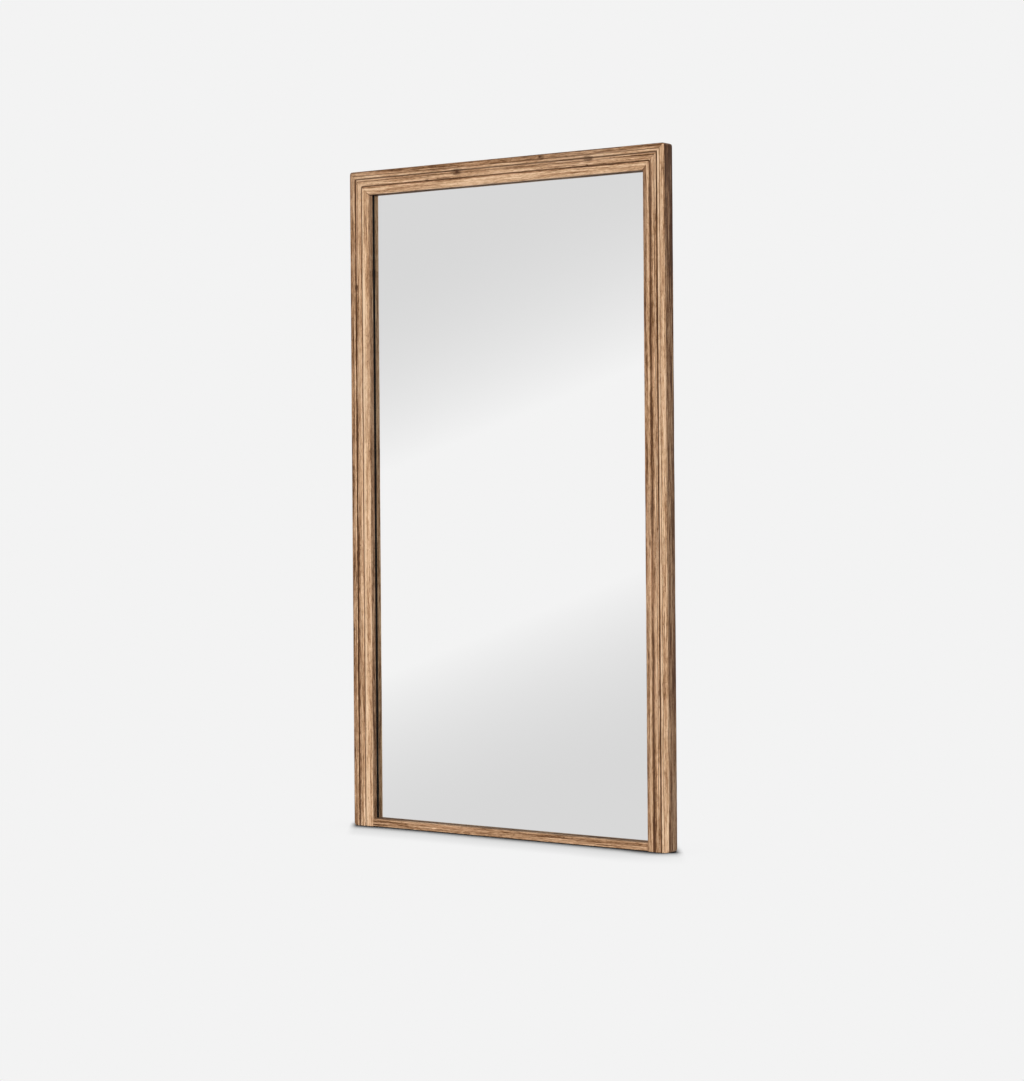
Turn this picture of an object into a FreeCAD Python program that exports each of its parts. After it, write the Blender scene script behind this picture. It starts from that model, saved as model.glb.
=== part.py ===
"""Tall leaning floor mirror in a moulded reclaimed-wood frame.

Lengths are in millimetres.  X runs to the right as one faces the glass, Y runs
from the front to the back, and Z is up.  The origin is on the floor, under the
middle of the whole object.  "across" always means the distance from a frame
member's outer edge towards the glass, and "drop" the distance behind the
frame's foremost line.
"""
import FreeCAD, Part
import math
import os

Vector = FreeCAD.Vector

# ---------------------------------------------------------------- whole frame
FRAME_WIDTH = 1219.0
FRAME_HEIGHT = 2134.0
FRAME_DEPTH = 50.8
CORNER_RADIUS = 9.0          # worn outer corners, seen from the front

# ------------------------------------------- moulding, from outside to inside
ROLL_RADIUS = 8.0            # the roll that turns the outer side into the face
ROLL_WIDTH = 15.4
QUIRK_WIDTH = 1.1            # a fine scratched line
QUIRK_DEPTH = 0.8
BEAD_WIDTH = 7.6
BEAD_CROWN = 0.9
OUTER_GROOVE_WIDTH = 3.0
OUTER_GROOVE_DROP = 3.4
REED_WIDTH = 6.7
BAND_WIDTH = 13.7
BAND_CROWN = 0.4             # of the reed and the band beside it
INNER_GROOVE_WIDTH = 3.8
INNER_GROOVE_DROP = 4.6
SHOULDER_WIDTH = 6.2         # rise from the inner groove to the ovolo's top
OVOLO_WIDTH = 17.8           # the long fall towards the glass
INNER_ARRIS_RADIUS = 1.6
ROLL_DROP = 0.5
FLAT_DROP = 0.7              # edges of the bead, the reed and the band
SHOULDER_DROP = 1.0
INNER_EDGE_DROP = 4.6
BACK_ARRIS = 2.0             # eased edge between the side and the back

# --------------------------------------------------- what lies behind the lip
LIP_DEPTH = 22.0             # wood reveal between the face and the glass tape
TAPE_THICKNESS = 4.0
GLASS_THICKNESS = 5.0
BOARD_THICKNESS = 9.0
GLASS_OVERLAP = 8.0          # how far the glass reaches behind the lip
GLASS_CLEARANCE = 2.0
TAPE_WIDTH = 7.4
TAPE_SETBACK = 0.3           # tape stands this far back from the lip's edge
BOARD_OVERLAP = 20.0
BOARD_CLEARANCE = 1.0
BOARD_FLOOR_GAP = 4.0

# ----------------------------------------------------------------- lower rail
RAIL_HEIGHT = 24.0
RAIL_FLOOR_GAP = 1.0
RAIL_EASE = 5.0              # radius of the rail's upper front edge
RAIL_FOOT_EASE = 1.5
SETTING_BLOCK_THICKNESS = 3.0
SETTING_BLOCK_LENGTH = 80.0
SETTING_BLOCK_PLACE = 0.25   # share of the glass width, in from each side

# --------------------------------------------------------------------- joints
BISCUIT_LENGTH = 56.0
BISCUIT_WIDTH = 23.0
BISCUIT_THICKNESS = 4.0
BISCUIT_SLACK = 0.15
BISCUIT_ACROSS = 34.0
BISCUIT_FRONT_DROP = 16.0
BISCUIT_BACK_DROP = 33.0
DOWEL_DIAMETER = 8.0
DOWEL_SIDES = 12             # its flutes, drawn as flats
DOWEL_LENGTH = 50.0
DOWEL_SLACK = 0.1
DOWEL_LOW = 8.0              # heights above the floor
DOWEL_HIGH = 18.0

# -------------------------------------------- screws, drawn as many-sided rods
HEAD_SIDES = 12
SHANK_SIDES = 8
PILOT_SLACK = 0.05           # radial room round a screw in wood
HOLE_SLACK = 0.4             # radial room round a screw in board or steel
BOARD_SCREW = {"shank": 3.5, "head": 8.0, "head_height": 2.2, "length": 24.0}
STEEL_SCREW = {"shank": 4.0, "head": 8.0, "head_height": 2.4, "length": 22.0}
STILE_SCREW_COUNT = 7
RAIL_SCREW_COUNT = 4
SCREW_END_MARGIN = 60.0

# -------------------------------------------------------------- corner plates
PLATE_ARM = 95.0
PLATE_WIDTH = 20.0
PLATE_THICKNESS = 2.5
PLATE_ACROSS = 18.0
PLATE_CORNER_RADIUS = 5.0
PLATE_NEAR_HOLE = 40.0       # along each arm, from the plate's outer corner
PLATE_FAR_HOLE = 82.0

# -------------------------------------------------------------------- hangers
RING_WIRE = 3.2
RING_BEND = 5.0              # the wire's two tight corners, at its middle line
RING_BAR_SPARE = 1.0         # straight wire on each side of the knuckle
RING_SIDES = 8               # the bow's wire is drawn many-sided
RING_CORNER_CHORDS = 3       # and bent in short straight lengths
RING_BOW_CHORDS = 12
KNUCKLE_SLACK = 0.05
STRAP_THICKNESS = 1.2
STRAP_WIDTH = 14.0
STRAP_LENGTH = 58.0
STRAP_NEAR_HOLE = 30.0       # below the ring's axis
STRAP_FAR_HOLE = 48.0
RING_GAP = 0.35              # between the hanging ring and the strap
HANGER_BELOW_TOP = 430.0

# -------------------------------------------------------------- wall bumpers
BUMPER_DIAMETER = 22.0
BUMPER_FACE_DIAMETER = 19.0
BUMPER_THICKNESS = 7.5
BUMPER_BELOW_TOP = 16.0
BUMPER_FROM_SIDE = 165.0

TOUCH = 0.01                 # nearer than this counts as the same place

# ------------------------------------------------------- places worked out
FACE_WIDTH = (ROLL_WIDTH + QUIRK_WIDTH + BEAD_WIDTH + OUTER_GROOVE_WIDTH
              + REED_WIDTH + QUIRK_WIDTH + BAND_WIDTH + INNER_GROOVE_WIDTH
              + SHOULDER_WIDTH + OVOLO_WIDTH + INNER_ARRIS_RADIUS)
HALF_WIDTH = FRAME_WIDTH / 2
FRONT_Y = -(FRAME_DEPTH + BUMPER_THICKNESS) / 2
BACK_Y = FRONT_Y + FRAME_DEPTH
LIP_BACK_Y = FRONT_Y + INNER_EDGE_DROP + LIP_DEPTH
GLASS_FRONT_Y = LIP_BACK_Y + TAPE_THICKNESS
BOARD_FRONT_Y = GLASS_FRONT_Y + GLASS_THICKNESS
BOARD_BACK_Y = BOARD_FRONT_Y + BOARD_THICKNESS
OPENING_HALF = HALF_WIDTH - FACE_WIDTH
OPENING_TOP = FRAME_HEIGHT - FACE_WIDTH
OPENING_FLOOR = RAIL_FLOOR_GAP + RAIL_HEIGHT
GLASS_POCKET = GLASS_OVERLAP + GLASS_CLEARANCE
BOARD_POCKET = BOARD_OVERLAP + BOARD_CLEARANCE
GLASS_HALF = OPENING_HALF + GLASS_OVERLAP
GLASS_TOP = OPENING_TOP + GLASS_OVERLAP
GLASS_FLOOR = OPENING_FLOOR - GLASS_OVERLAP
POCKET_FLOOR = GLASS_FLOOR - SETTING_BLOCK_THICKNESS
BOARD_HALF = OPENING_HALF + BOARD_OVERLAP
BOARD_TOP = OPENING_TOP + BOARD_OVERLAP
SCREW_LINE = FACE_WIDTH - (BOARD_OVERLAP + GLASS_POCKET) / 2
STILE_BACK_MIDDLE = (FACE_WIDTH - BOARD_POCKET) / 2
RING_RADIUS = RING_WIRE / 2
KNUCKLE_BORE = RING_RADIUS + KNUCKLE_SLACK
KNUCKLE_RADIUS = KNUCKLE_BORE + STRAP_THICKNESS
RING_AXIS_Y = BACK_Y + STRAP_THICKNESS + RING_GAP + RING_RADIUS
RING_AXIS_Z = FRAME_HEIGHT - HANGER_BELOW_TOP


# ----------------------------------------------------------- small helpers
def block(low, high):
    """A box between its lowest and its highest corner."""
    size = Vector(*high) - Vector(*low)
    return Part.makeBox(size.x, size.y, size.z, Vector(*low))


def rod_y(radius, x, z, y_start, y_end):
    """A round rod along Y."""
    return Part.makeCylinder(radius, y_end - y_start, Vector(x, y_start, z), Vector(0, 1, 0))


def many_sided(radius, sides, centre, axis):
    """A regular face about an axis, its corners at radius."""
    turn = FreeCAD.Rotation(Vector(0, 0, 1), axis)
    corners = []
    for index in range(sides):
        angle = 2 * math.pi * index / sides
        flat = Vector(radius * math.cos(angle), radius * math.sin(angle), 0)
        corners.append(centre + turn.multVec(flat))
    return Part.Face(Part.makePolygon(corners + corners[:1]))


def prism_y(radius, sides, x, z, y_start, y_end):
    """A many-sided rod along Y, its corners at radius."""
    end = many_sided(radius, sides, Vector(x, y_start, z), Vector(0, 1, 0))
    return end.extrude(Vector(0, y_end - y_start, 0))


def mirrored(shape):
    """The same piece on the other side of the frame."""
    return shape.mirror(Vector(0, 0, 0), Vector(1, 0, 0))


def evenly(start, end, count):
    """Places from start to end, both included."""
    step = (end - start) / (count - 1)
    return [start + step * index for index in range(count)]


class Outline:
    """Draws a closed outline in the plane of a member's cross-section."""

    def __init__(self, across, drop):
        self.start = self.here = self.point(across, drop)
        self.edges = []

    @staticmethod
    def point(across, drop):
        return Vector(across, FRONT_Y + drop, 0)

    def line(self, across, drop):
        there = self.point(across, drop)
        self.edges.append(Part.LineSegment(self.here, there).toShape())
        self.here = there

    def crown(self, across, drop, rise):
        """An arc to a point, bulging to the front by rise at its middle."""
        there = self.point(across, drop)
        top = (self.here + there) / 2 - Vector(0, rise, 0)
        self.edges.append(Part.Arc(self.here, top, there).toShape())
        self.here = there

    def quarter(self, across, drop, centre_across, centre_drop):
        """A quarter circle to a point, about a centre."""
        there = self.point(across, drop)
        centre = self.point(centre_across, centre_drop)
        radius = (there - centre).Length
        outwards = ((self.here - centre) + (there - centre)).normalize()
        self.edges.append(Part.Arc(self.here, centre + outwards * radius, there).toShape())
        self.here = there

    def face(self):
        self.edges.append(Part.LineSegment(self.here, self.start).toShape())
        return Part.Face(Part.Wire(self.edges))


# ------------------------------------------------------------ frame members
def moulding_section():
    """Cross-section of the stiles and the top rail, front profile and rebates."""
    outline = Outline(BACK_ARRIS, FRAME_DEPTH)
    outline.quarter(0, FRAME_DEPTH - BACK_ARRIS, BACK_ARRIS, FRAME_DEPTH - BACK_ARRIS)

    # outer roll
    roll_side = ROLL_DROP + ROLL_RADIUS
    outline.line(0, roll_side)
    outline.quarter(ROLL_RADIUS, ROLL_DROP, ROLL_RADIUS, roll_side)
    across = ROLL_WIDTH
    outline.line(across, FLAT_DROP)

    # quirk and bead
    outline.line(across + QUIRK_WIDTH / 2, FLAT_DROP + QUIRK_DEPTH)
    across += QUIRK_WIDTH
    outline.line(across, FLAT_DROP + BEAD_CROWN / 4)
    across += BEAD_WIDTH
    outline.crown(across, FLAT_DROP + BEAD_CROWN / 4, BEAD_CROWN)

    # outer groove
    outline.line(across + OUTER_GROOVE_WIDTH * 0.3, OUTER_GROOVE_DROP)
    outline.line(across + OUTER_GROOVE_WIDTH * 0.7, OUTER_GROOVE_DROP)
    across += OUTER_GROOVE_WIDTH
    outline.line(across, FLAT_DROP)

    # reed, second quirk and band
    across += REED_WIDTH
    outline.crown(across, FLAT_DROP, BAND_CROWN)
    outline.line(across + QUIRK_WIDTH / 2, FLAT_DROP + QUIRK_DEPTH)
    across += QUIRK_WIDTH
    outline.line(across, FLAT_DROP)
    across += BAND_WIDTH
    outline.crown(across, FLAT_DROP, BAND_CROWN)

    # inner groove
    outline.line(across + INNER_GROOVE_WIDTH * 0.25, INNER_GROOVE_DROP)
    outline.line(across + INNER_GROOVE_WIDTH * 0.75, INNER_GROOVE_DROP)
    across += INNER_GROOVE_WIDTH

    # ovolo: a steep shoulder, then a long fall to the inner arris
    outline.line(across, INNER_EDGE_DROP - INNER_ARRIS_RADIUS)
    across += SHOULDER_WIDTH
    outline.crown(across, SHOULDER_DROP, (INNER_EDGE_DROP - SHOULDER_DROP) / 6)
    across += OVOLO_WIDTH
    outline.crown(across, INNER_EDGE_DROP, (INNER_EDGE_DROP - SHOULDER_DROP) / 6)
    outline.quarter(FACE_WIDTH, INNER_EDGE_DROP + INNER_ARRIS_RADIUS,
                    across, INNER_EDGE_DROP + INNER_ARRIS_RADIUS)

    # reveal, glass rebate and board rebate
    lip_back = LIP_BACK_Y - FRONT_Y
    board_front = BOARD_FRONT_Y - FRONT_Y
    outline.line(FACE_WIDTH, lip_back)
    outline.line(FACE_WIDTH - GLASS_POCKET, lip_back)
    outline.line(FACE_WIDTH - GLASS_POCKET, board_front)
    outline.line(FACE_WIDTH - BOARD_POCKET, board_front)
    outline.line(FACE_WIDTH - BOARD_POCKET, FRAME_DEPTH)
    return outline.face()


def mitre_wedge(corner_x, direction):
    """Everything on a stile's side of the 45 degree cut that starts at a top corner."""
    reach = FRAME_HEIGHT
    corner = Vector(corner_x, FRONT_Y, FRAME_HEIGHT)
    points = [corner,
              corner + Vector(direction * reach, 0, -reach),
              corner + Vector(-direction * reach, 0, -reach),
              corner + Vector(-direction * reach, 0, 0),
              corner]
    return Part.Face(Part.makePolygon(points)).extrude(Vector(0, FRAME_DEPTH, 0))


def rounded_outline():
    """The frame's whole outline with its worn outer corners, as a thick slab."""
    slab = block((-HALF_WIDTH, FRONT_Y, 0), (HALF_WIDTH, BACK_Y, FRAME_HEIGHT))
    corners = [edge for edge in slab.Edges
               if abs(edge.Vertexes[0].Point.y - edge.Vertexes[1].Point.y) > FRAME_DEPTH / 2]
    return slab.makeFillet(CORNER_RADIUS, corners)


def left_biscuits(slack):
    """The two oval biscuits across the left mitre, grown by slack all round."""
    straight = BISCUIT_LENGTH / 2 - BISCUIT_WIDTH / 2
    radius = BISCUIT_WIDTH / 2 + slack
    middle = Vector(-HALF_WIDTH + BISCUIT_ACROSS, 0, FRAME_HEIGHT - BISCUIT_ACROSS)
    biscuits = []
    for drop in (BISCUIT_FRONT_DROP, BISCUIT_BACK_DROP):
        front = FRONT_Y + drop - BISCUIT_THICKNESS / 2 - slack
        thickness = BISCUIT_THICKNESS + 2 * slack
        bar = Part.makeBox(2 * straight, thickness, 2 * radius,
                           Vector(-straight, front, -radius))
        ends = [rod_y(radius, x, 0, front, front + thickness) for x in (-straight, straight)]
        oval = bar.multiFuse(ends).removeSplitter()
        oval.rotate(Vector(0, 0, 0), Vector(0, 1, 0), 45)
        oval.translate(middle)
        biscuits.append(oval.Solids[0])
    return biscuits


def left_dowels(slack):
    """The two dowels between the left stile and the bottom rail."""
    middle_y = FRONT_Y + INNER_EDGE_DROP + LIP_DEPTH / 2
    start_x = -OPENING_HALF - DOWEL_LENGTH / 2 - slack
    ends = [many_sided(DOWEL_DIAMETER / 2 + slack, DOWEL_SIDES,
                       Vector(start_x, middle_y, height), Vector(1, 0, 0))
            for height in (DOWEL_LOW, DOWEL_HIGH)]
    return [end.extrude(Vector(DOWEL_LENGTH + 2 * slack, 0, 0)) for end in ends]


def left_stile():
    bar = moulding_section().extrude(Vector(0, 0, FRAME_HEIGHT))
    bar.translate(Vector(-HALF_WIDTH, 0, 0))
    bar = bar.common(mitre_wedge(-HALF_WIDTH, 1)).common(rounded_outline())
    stile = bar.cut(Part.makeCompound(left_biscuits(BISCUIT_SLACK) + left_dowels(DOWEL_SLACK)))
    for x, z in left_stile_screw_places():
        stile = stile.cut(board_screw_pilot(x, z))
    for x, z in left_plate_screw_places() + left_hanger_screw_places():
        stile = stile.cut(steel_screw_pilot(x, z))
    return stile


def top_rail():
    bar = moulding_section().extrude(Vector(0, 0, FRAME_WIDTH))
    bar.rotate(Vector(0, 0, 0), Vector(0, 1, 0), 90)
    bar.translate(Vector(-HALF_WIDTH, 0, FRAME_HEIGHT))
    left_cut = mitre_wedge(-HALF_WIDTH, 1)
    bar = bar.cut(left_cut).cut(mirrored(left_cut)).common(rounded_outline())
    for biscuit in left_biscuits(BISCUIT_SLACK):
        bar = bar.cut(biscuit).cut(mirrored(biscuit))
    for x, z in rail_screw_places(TOP_SCREW_Z):
        bar = bar.cut(board_screw_pilot(x, z))
    for x, z in left_plate_screw_places():
        pilot = steel_screw_pilot(x, z)
        bar = bar.cut(pilot).cut(mirrored(pilot))
    return bar


def bottom_rail():
    """A narrow rail between the stiles, with a tongue behind each stile's lip."""
    front_drop = INNER_EDGE_DROP
    back_drop = BOARD_FRONT_Y - FRONT_Y
    lip_drop = LIP_BACK_Y - FRONT_Y
    rail = block((-OPENING_HALF, FRONT_Y + front_drop, RAIL_FLOOR_GAP),
                 (OPENING_HALF, FRONT_Y + back_drop, OPENING_FLOOR))
    rail = ease_front_edge(rail, OPENING_FLOOR, RAIL_EASE)
    rail = ease_front_edge(rail, RAIL_FLOOR_GAP, RAIL_FOOT_EASE)
    tongue_half = OPENING_HALF + GLASS_POCKET
    tongue = block((-tongue_half, FRONT_Y + lip_drop, RAIL_FLOOR_GAP),
                   (tongue_half, FRONT_Y + back_drop, POCKET_FLOOR))
    pocket = block((-tongue_half, FRONT_Y + lip_drop, POCKET_FLOOR),
                   (tongue_half, FRONT_Y + back_drop, OPENING_FLOOR))
    rail = rail.fuse(tongue).cut(pocket).removeSplitter()
    for dowel in left_dowels(DOWEL_SLACK):
        rail = rail.cut(dowel).cut(mirrored(dowel))
    for x, z in rail_screw_places(FOOT_SCREW_Z):
        rail = rail.cut(board_screw_pilot(x, z))
    return rail


def ease_front_edge(rail, height, radius):
    """Rounds the rail's long front edge that lies at a height."""
    front = FRONT_Y + INNER_EDGE_DROP
    edges = [edge for edge in rail.Edges
             if all(abs(vertex.Point.y - front) < TOUCH
                    and abs(vertex.Point.z - height) < TOUCH
                    for vertex in edge.Vertexes)]
    return rail.makeFillet(radius, edges)


# --------------------------------------------------- glass and what holds it
def mirror_glass():
    return block((-GLASS_HALF, GLASS_FRONT_Y, GLASS_FLOOR),
                 (GLASS_HALF, BOARD_FRONT_Y, GLASS_TOP))


def left_tape():
    """Foam strip between the left lip and the glass, as tall as the glass."""
    edge = -OPENING_HALF - TAPE_SETBACK
    return block((edge - TAPE_WIDTH, LIP_BACK_Y, GLASS_FLOOR),
                 (edge, GLASS_FRONT_Y, GLASS_TOP))


def level_tape(edge, inwards):
    """Foam strip along the top (inwards 1) or the bottom (inwards -1)."""
    near = edge + inwards * TAPE_SETBACK
    far = near + inwards * TAPE_WIDTH
    half = OPENING_HALF + TAPE_SETBACK
    return block((-half, LIP_BACK_Y, min(near, far)), (half, GLASS_FRONT_Y, max(near, far)))


def setting_blocks():
    """Two rubber blocks under the glass, in the bottom rail's rebate."""
    place = GLASS_HALF * (1 - 2 * SETTING_BLOCK_PLACE)
    left = block((-place - SETTING_BLOCK_LENGTH / 2, GLASS_FRONT_Y, POCKET_FLOOR),
                 (-place + SETTING_BLOCK_LENGTH / 2, BOARD_FRONT_Y, GLASS_FLOOR))
    return Part.makeCompound([left, mirrored(left)])


def backing_board():
    board = block((-BOARD_HALF, BOARD_FRONT_Y, BOARD_FLOOR_GAP),
                  (BOARD_HALF, BOARD_BACK_Y, BOARD_TOP))
    radius = BOARD_SCREW["shank"] / 2 + HOLE_SLACK
    holes = [prism_y(radius, SHANK_SIDES, x, z, BOARD_FRONT_Y, BOARD_BACK_Y)
             for x, z in board_screw_places()]
    return board.cut(Part.makeCompound(holes))


# --------------------------------------------------------------- fasteners
FOOT_SCREW_Z = (BOARD_FLOOR_GAP + POCKET_FLOOR) / 2
TOP_SCREW_Z = FRAME_HEIGHT - SCREW_LINE


def left_stile_screw_places():
    x = -HALF_WIDTH + SCREW_LINE
    heights = evenly(OPENING_FLOOR + SCREW_END_MARGIN, OPENING_TOP - SCREW_END_MARGIN,
                     STILE_SCREW_COUNT)
    return [(x, z) for z in heights]


def rail_screw_places(height):
    reach = OPENING_HALF - SCREW_END_MARGIN
    return [(x, height) for x in evenly(-reach, reach, RAIL_SCREW_COUNT)]


def board_screw_places():
    stiles = left_stile_screw_places()
    stiles += [(-x, z) for x, z in stiles]
    return stiles + rail_screw_places(TOP_SCREW_Z) + rail_screw_places(FOOT_SCREW_Z)


def left_plate_screw_places():
    """On the middle line of both arms of the left corner plate."""
    middle = PLATE_ACROSS + PLATE_WIDTH / 2
    along = [PLATE_ACROSS + PLATE_NEAR_HOLE, PLATE_ACROSS + PLATE_FAR_HOLE]
    down = [(-HALF_WIDTH + middle, FRAME_HEIGHT - reach) for reach in along]
    level = [(-HALF_WIDTH + reach, FRAME_HEIGHT - middle) for reach in along]
    return down + level


def left_hanger_screw_places():
    x = -HALF_WIDTH + STILE_BACK_MIDDLE
    return [(x, RING_AXIS_Z - STRAP_NEAR_HOLE), (x, RING_AXIS_Z - STRAP_FAR_HOLE)]


def board_screw_pilot(x, z):
    tip = BOARD_BACK_Y - BOARD_SCREW["length"]
    return prism_y(BOARD_SCREW["shank"] / 2 + PILOT_SLACK, SHANK_SIDES, x, z,
                   tip - PILOT_SLACK, BOARD_FRONT_Y)


def steel_screw_pilot(x, z):
    tip = BACK_Y - STEEL_SCREW["length"]
    return prism_y(STEEL_SCREW["shank"] / 2 + PILOT_SLACK, SHANK_SIDES, x, z,
                   tip - PILOT_SLACK, BACK_Y)


def screw(size, x, z, seat_y, tip_y):
    """A flat-topped screw whose head sits on seat_y."""
    shank = prism_y(size["shank"] / 2, SHANK_SIDES, x, z, tip_y, seat_y)
    head = prism_y(size["head"] / 2, HEAD_SIDES, x, z, seat_y, seat_y + size["head_height"])
    return shank.fuse(head).removeSplitter()


def board_screws():
    tip = BOARD_BACK_Y - BOARD_SCREW["length"]
    return [screw(BOARD_SCREW, x, z, BOARD_BACK_Y, tip) for x, z in board_screw_places()]


def steel_screws(places, seat_y):
    tip = BACK_Y - STEEL_SCREW["length"]
    left = [screw(STEEL_SCREW, x, z, seat_y, tip) for x, z in places]
    return left + [mirrored(one) for one in left]


# ---------------------------------------------------------------- steelwork
def left_corner_plate():
    """Flat L plate across the back of the left mitre."""
    outer = Vector(-HALF_WIDTH + PLATE_ACROSS, BACK_Y, FRAME_HEIGHT - PLATE_ACROSS)
    inner = outer + Vector(PLATE_WIDTH, 0, -PLATE_WIDTH)
    points = [outer,
              outer + Vector(PLATE_ARM, 0, 0),
              outer + Vector(PLATE_ARM, 0, -PLATE_WIDTH),
              inner,
              outer + Vector(PLATE_WIDTH, 0, -PLATE_ARM),
              outer + Vector(0, 0, -PLATE_ARM),
              outer]
    plate = Part.Face(Part.makePolygon(points)).extrude(Vector(0, PLATE_THICKNESS, 0))
    upright = [edge for edge in plate.Edges
               if abs(edge.Vertexes[0].Point.y - edge.Vertexes[1].Point.y) > PLATE_THICKNESS / 2
               and (edge.Vertexes[0].Point - inner).cross(Vector(0, 1, 0)).Length > TOUCH]
    plate = plate.makeFillet(PLATE_CORNER_RADIUS, upright)
    radius = STEEL_SCREW["shank"] / 2 + HOLE_SLACK
    holes = [prism_y(radius, SHANK_SIDES, x, z, BACK_Y, BACK_Y + PLATE_THICKNESS)
             for x, z in left_plate_screw_places()]
    return plate.cut(Part.makeCompound(holes))


def left_hanger_strap():
    """A strap screwed to the stile, rolled over at its top into the ring's knuckle."""
    x = -HALF_WIDTH + STILE_BACK_MIDDLE
    low_x = x - STRAP_WIDTH / 2
    strap = block((low_x, BACK_Y, RING_AXIS_Z - STRAP_LENGTH),
                  (low_x + STRAP_WIDTH, BACK_Y + STRAP_THICKNESS, RING_AXIS_Z))
    foot = [edge for edge in strap.Edges
            if all(abs(vertex.Point.z - (RING_AXIS_Z - STRAP_LENGTH)) < TOUCH
                   for vertex in edge.Vertexes)
            and abs(edge.Vertexes[0].Point.y - edge.Vertexes[1].Point.y) > STRAP_THICKNESS / 2]
    strap = strap.makeFillet(STRAP_WIDTH * 0.45, foot)
    axis_start = Vector(low_x, RING_AXIS_Y, RING_AXIS_Z)
    knuckle = Part.makeCylinder(KNUCKLE_RADIUS, STRAP_WIDTH, axis_start, Vector(1, 0, 0))
    bore = Part.makeCylinder(KNUCKLE_BORE, STRAP_WIDTH, axis_start, Vector(1, 0, 0))
    strap = strap.fuse(knuckle).cut(bore).removeSplitter()
    radius = STEEL_SCREW["shank"] / 2 + HOLE_SLACK
    for hole_x, z in left_hanger_screw_places():
        strap = strap.cut(prism_y(radius, SHANK_SIDES, hole_x, z,
                                  BACK_Y, BACK_Y + STRAP_THICKNESS))
    return strap


def left_hanger_ring():
    """A D ring: a round bar in the knuckle and a bow that hangs from its two ends."""
    x = -HALF_WIDTH + STILE_BACK_MIDDLE
    knuckle_half = STRAP_WIDTH / 2
    corner_across = knuckle_half + RING_BAR_SPARE
    bow_radius = corner_across + RING_BEND

    def at(across, below):
        return Vector(x + across, RING_AXIS_Y, RING_AXIS_Z - below)

    def turn(centre_across, radius, start, end, chords):
        """Points on an arc about a centre at the bow's height; 0 points right, 90 down."""
        angles = [math.radians(angle) for angle in evenly(start, end, chords + 1)]
        return [at(centre_across + radius * math.cos(angle),
                   RING_BEND + radius * math.sin(angle)) for angle in angles]

    left_corner = turn(-corner_across, RING_BEND, 270, 180, RING_CORNER_CHORDS)
    bow = turn(0, bow_radius, 180, 0, RING_BOW_CHORDS)
    right_corner = turn(corner_across, RING_BEND, 0, -90, RING_CORNER_CHORDS)
    round_end = knuckle_half + RING_BAR_SPARE / 2
    path = Part.makePolygon([at(-round_end, 0)] + left_corner + bow[1:-1] + right_corner
                            + [at(round_end, 0)])
    section = many_sided(RING_RADIUS, RING_SIDES, at(-round_end, 0), Vector(1, 0, 0))
    mitred = 1
    wire = path.makePipeShell([section.OuterWire], True, False, mitred)
    bar = Part.makeCylinder(RING_RADIUS, 2 * round_end, at(-round_end, 0), Vector(1, 0, 0))
    return wire.fuse(bar).removeSplitter().Solids[0]


# ------------------------------------------------------------- wall bumpers
def left_wall_bumper():
    """A tapered rubber disc stuck to the frame's back, which meets the wall."""
    place = Vector(-HALF_WIDTH + BUMPER_FROM_SIDE, BACK_Y, FRAME_HEIGHT - BUMPER_BELOW_TOP)
    return Part.makeCone(BUMPER_DIAMETER / 2, BUMPER_FACE_DIAMETER / 2, BUMPER_THICKNESS,
                         place, Vector(0, 1, 0))


# ------------------------------------------------------------------ write out
def all_pieces():
    """Every piece of the mirror, by the name a workshop would give it."""
    stile = left_stile()
    biscuits = Part.makeCompound(left_biscuits(0))
    dowels = Part.makeCompound(left_dowels(0))
    plate_seat = BACK_Y + PLATE_THICKNESS
    strap_seat = BACK_Y + STRAP_THICKNESS
    pieces = {
        "left_stile": stile,
        "right_stile": mirrored(stile),
        "top_rail": top_rail(),
        "bottom_rail": bottom_rail(),
        "mitre_biscuits_left": biscuits,
        "mitre_biscuits_right": mirrored(biscuits),
        "rail_dowels_left": dowels,
        "rail_dowels_right": mirrored(dowels),
        "mirror_glass": mirror_glass(),
        "glazing_tape_left": left_tape(),
        "glazing_tape_right": mirrored(left_tape()),
        "glazing_tape_top": level_tape(OPENING_TOP, 1),
        "glazing_tape_bottom": level_tape(OPENING_FLOOR, -1),
        "setting_blocks": setting_blocks(),
        "backing_board": backing_board(),
        "backing_screws": Part.makeCompound(board_screws()),
        "corner_plate_screws": Part.makeCompound(
            steel_screws(left_plate_screw_places(), plate_seat)),
        "hanger_screws": Part.makeCompound(
            steel_screws(left_hanger_screw_places(), strap_seat)),
    }
    for name, left_piece in (("corner_plate", left_corner_plate()),
                             ("hanger_strap", left_hanger_strap()),
                             ("hanger_ring", left_hanger_ring()),
                             ("wall_bumper", left_wall_bumper())):
        pieces[name + "_left"] = left_piece
        pieces[name + "_right"] = mirrored(left_piece)
    return pieces


def main():
    os.makedirs("parts", exist_ok=True)
    for name, shape in all_pieces().items():
        assert shape.isValid(), name + " is not a sound solid"
        shape.exportStep(os.path.join("parts", name + ".step"))
        print(name, len(shape.Solids), "solid(s)", round(shape.Volume / 1000, 1), "cm3")


main()
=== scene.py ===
# %% [markdown]
# # A leaning floor mirror in a moulded wood frame
# This file dresses a finished CAD model: the frame members, the glass and the hardware get
# the shapes, the wear and the finishes of the real mirror.  Every piece is drawn in
# millimetres, because that is how a frame maker measures, and is made metres when it is
# finished.  X runs to the right as one faces the glass, Y to the back and Z up.

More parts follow.
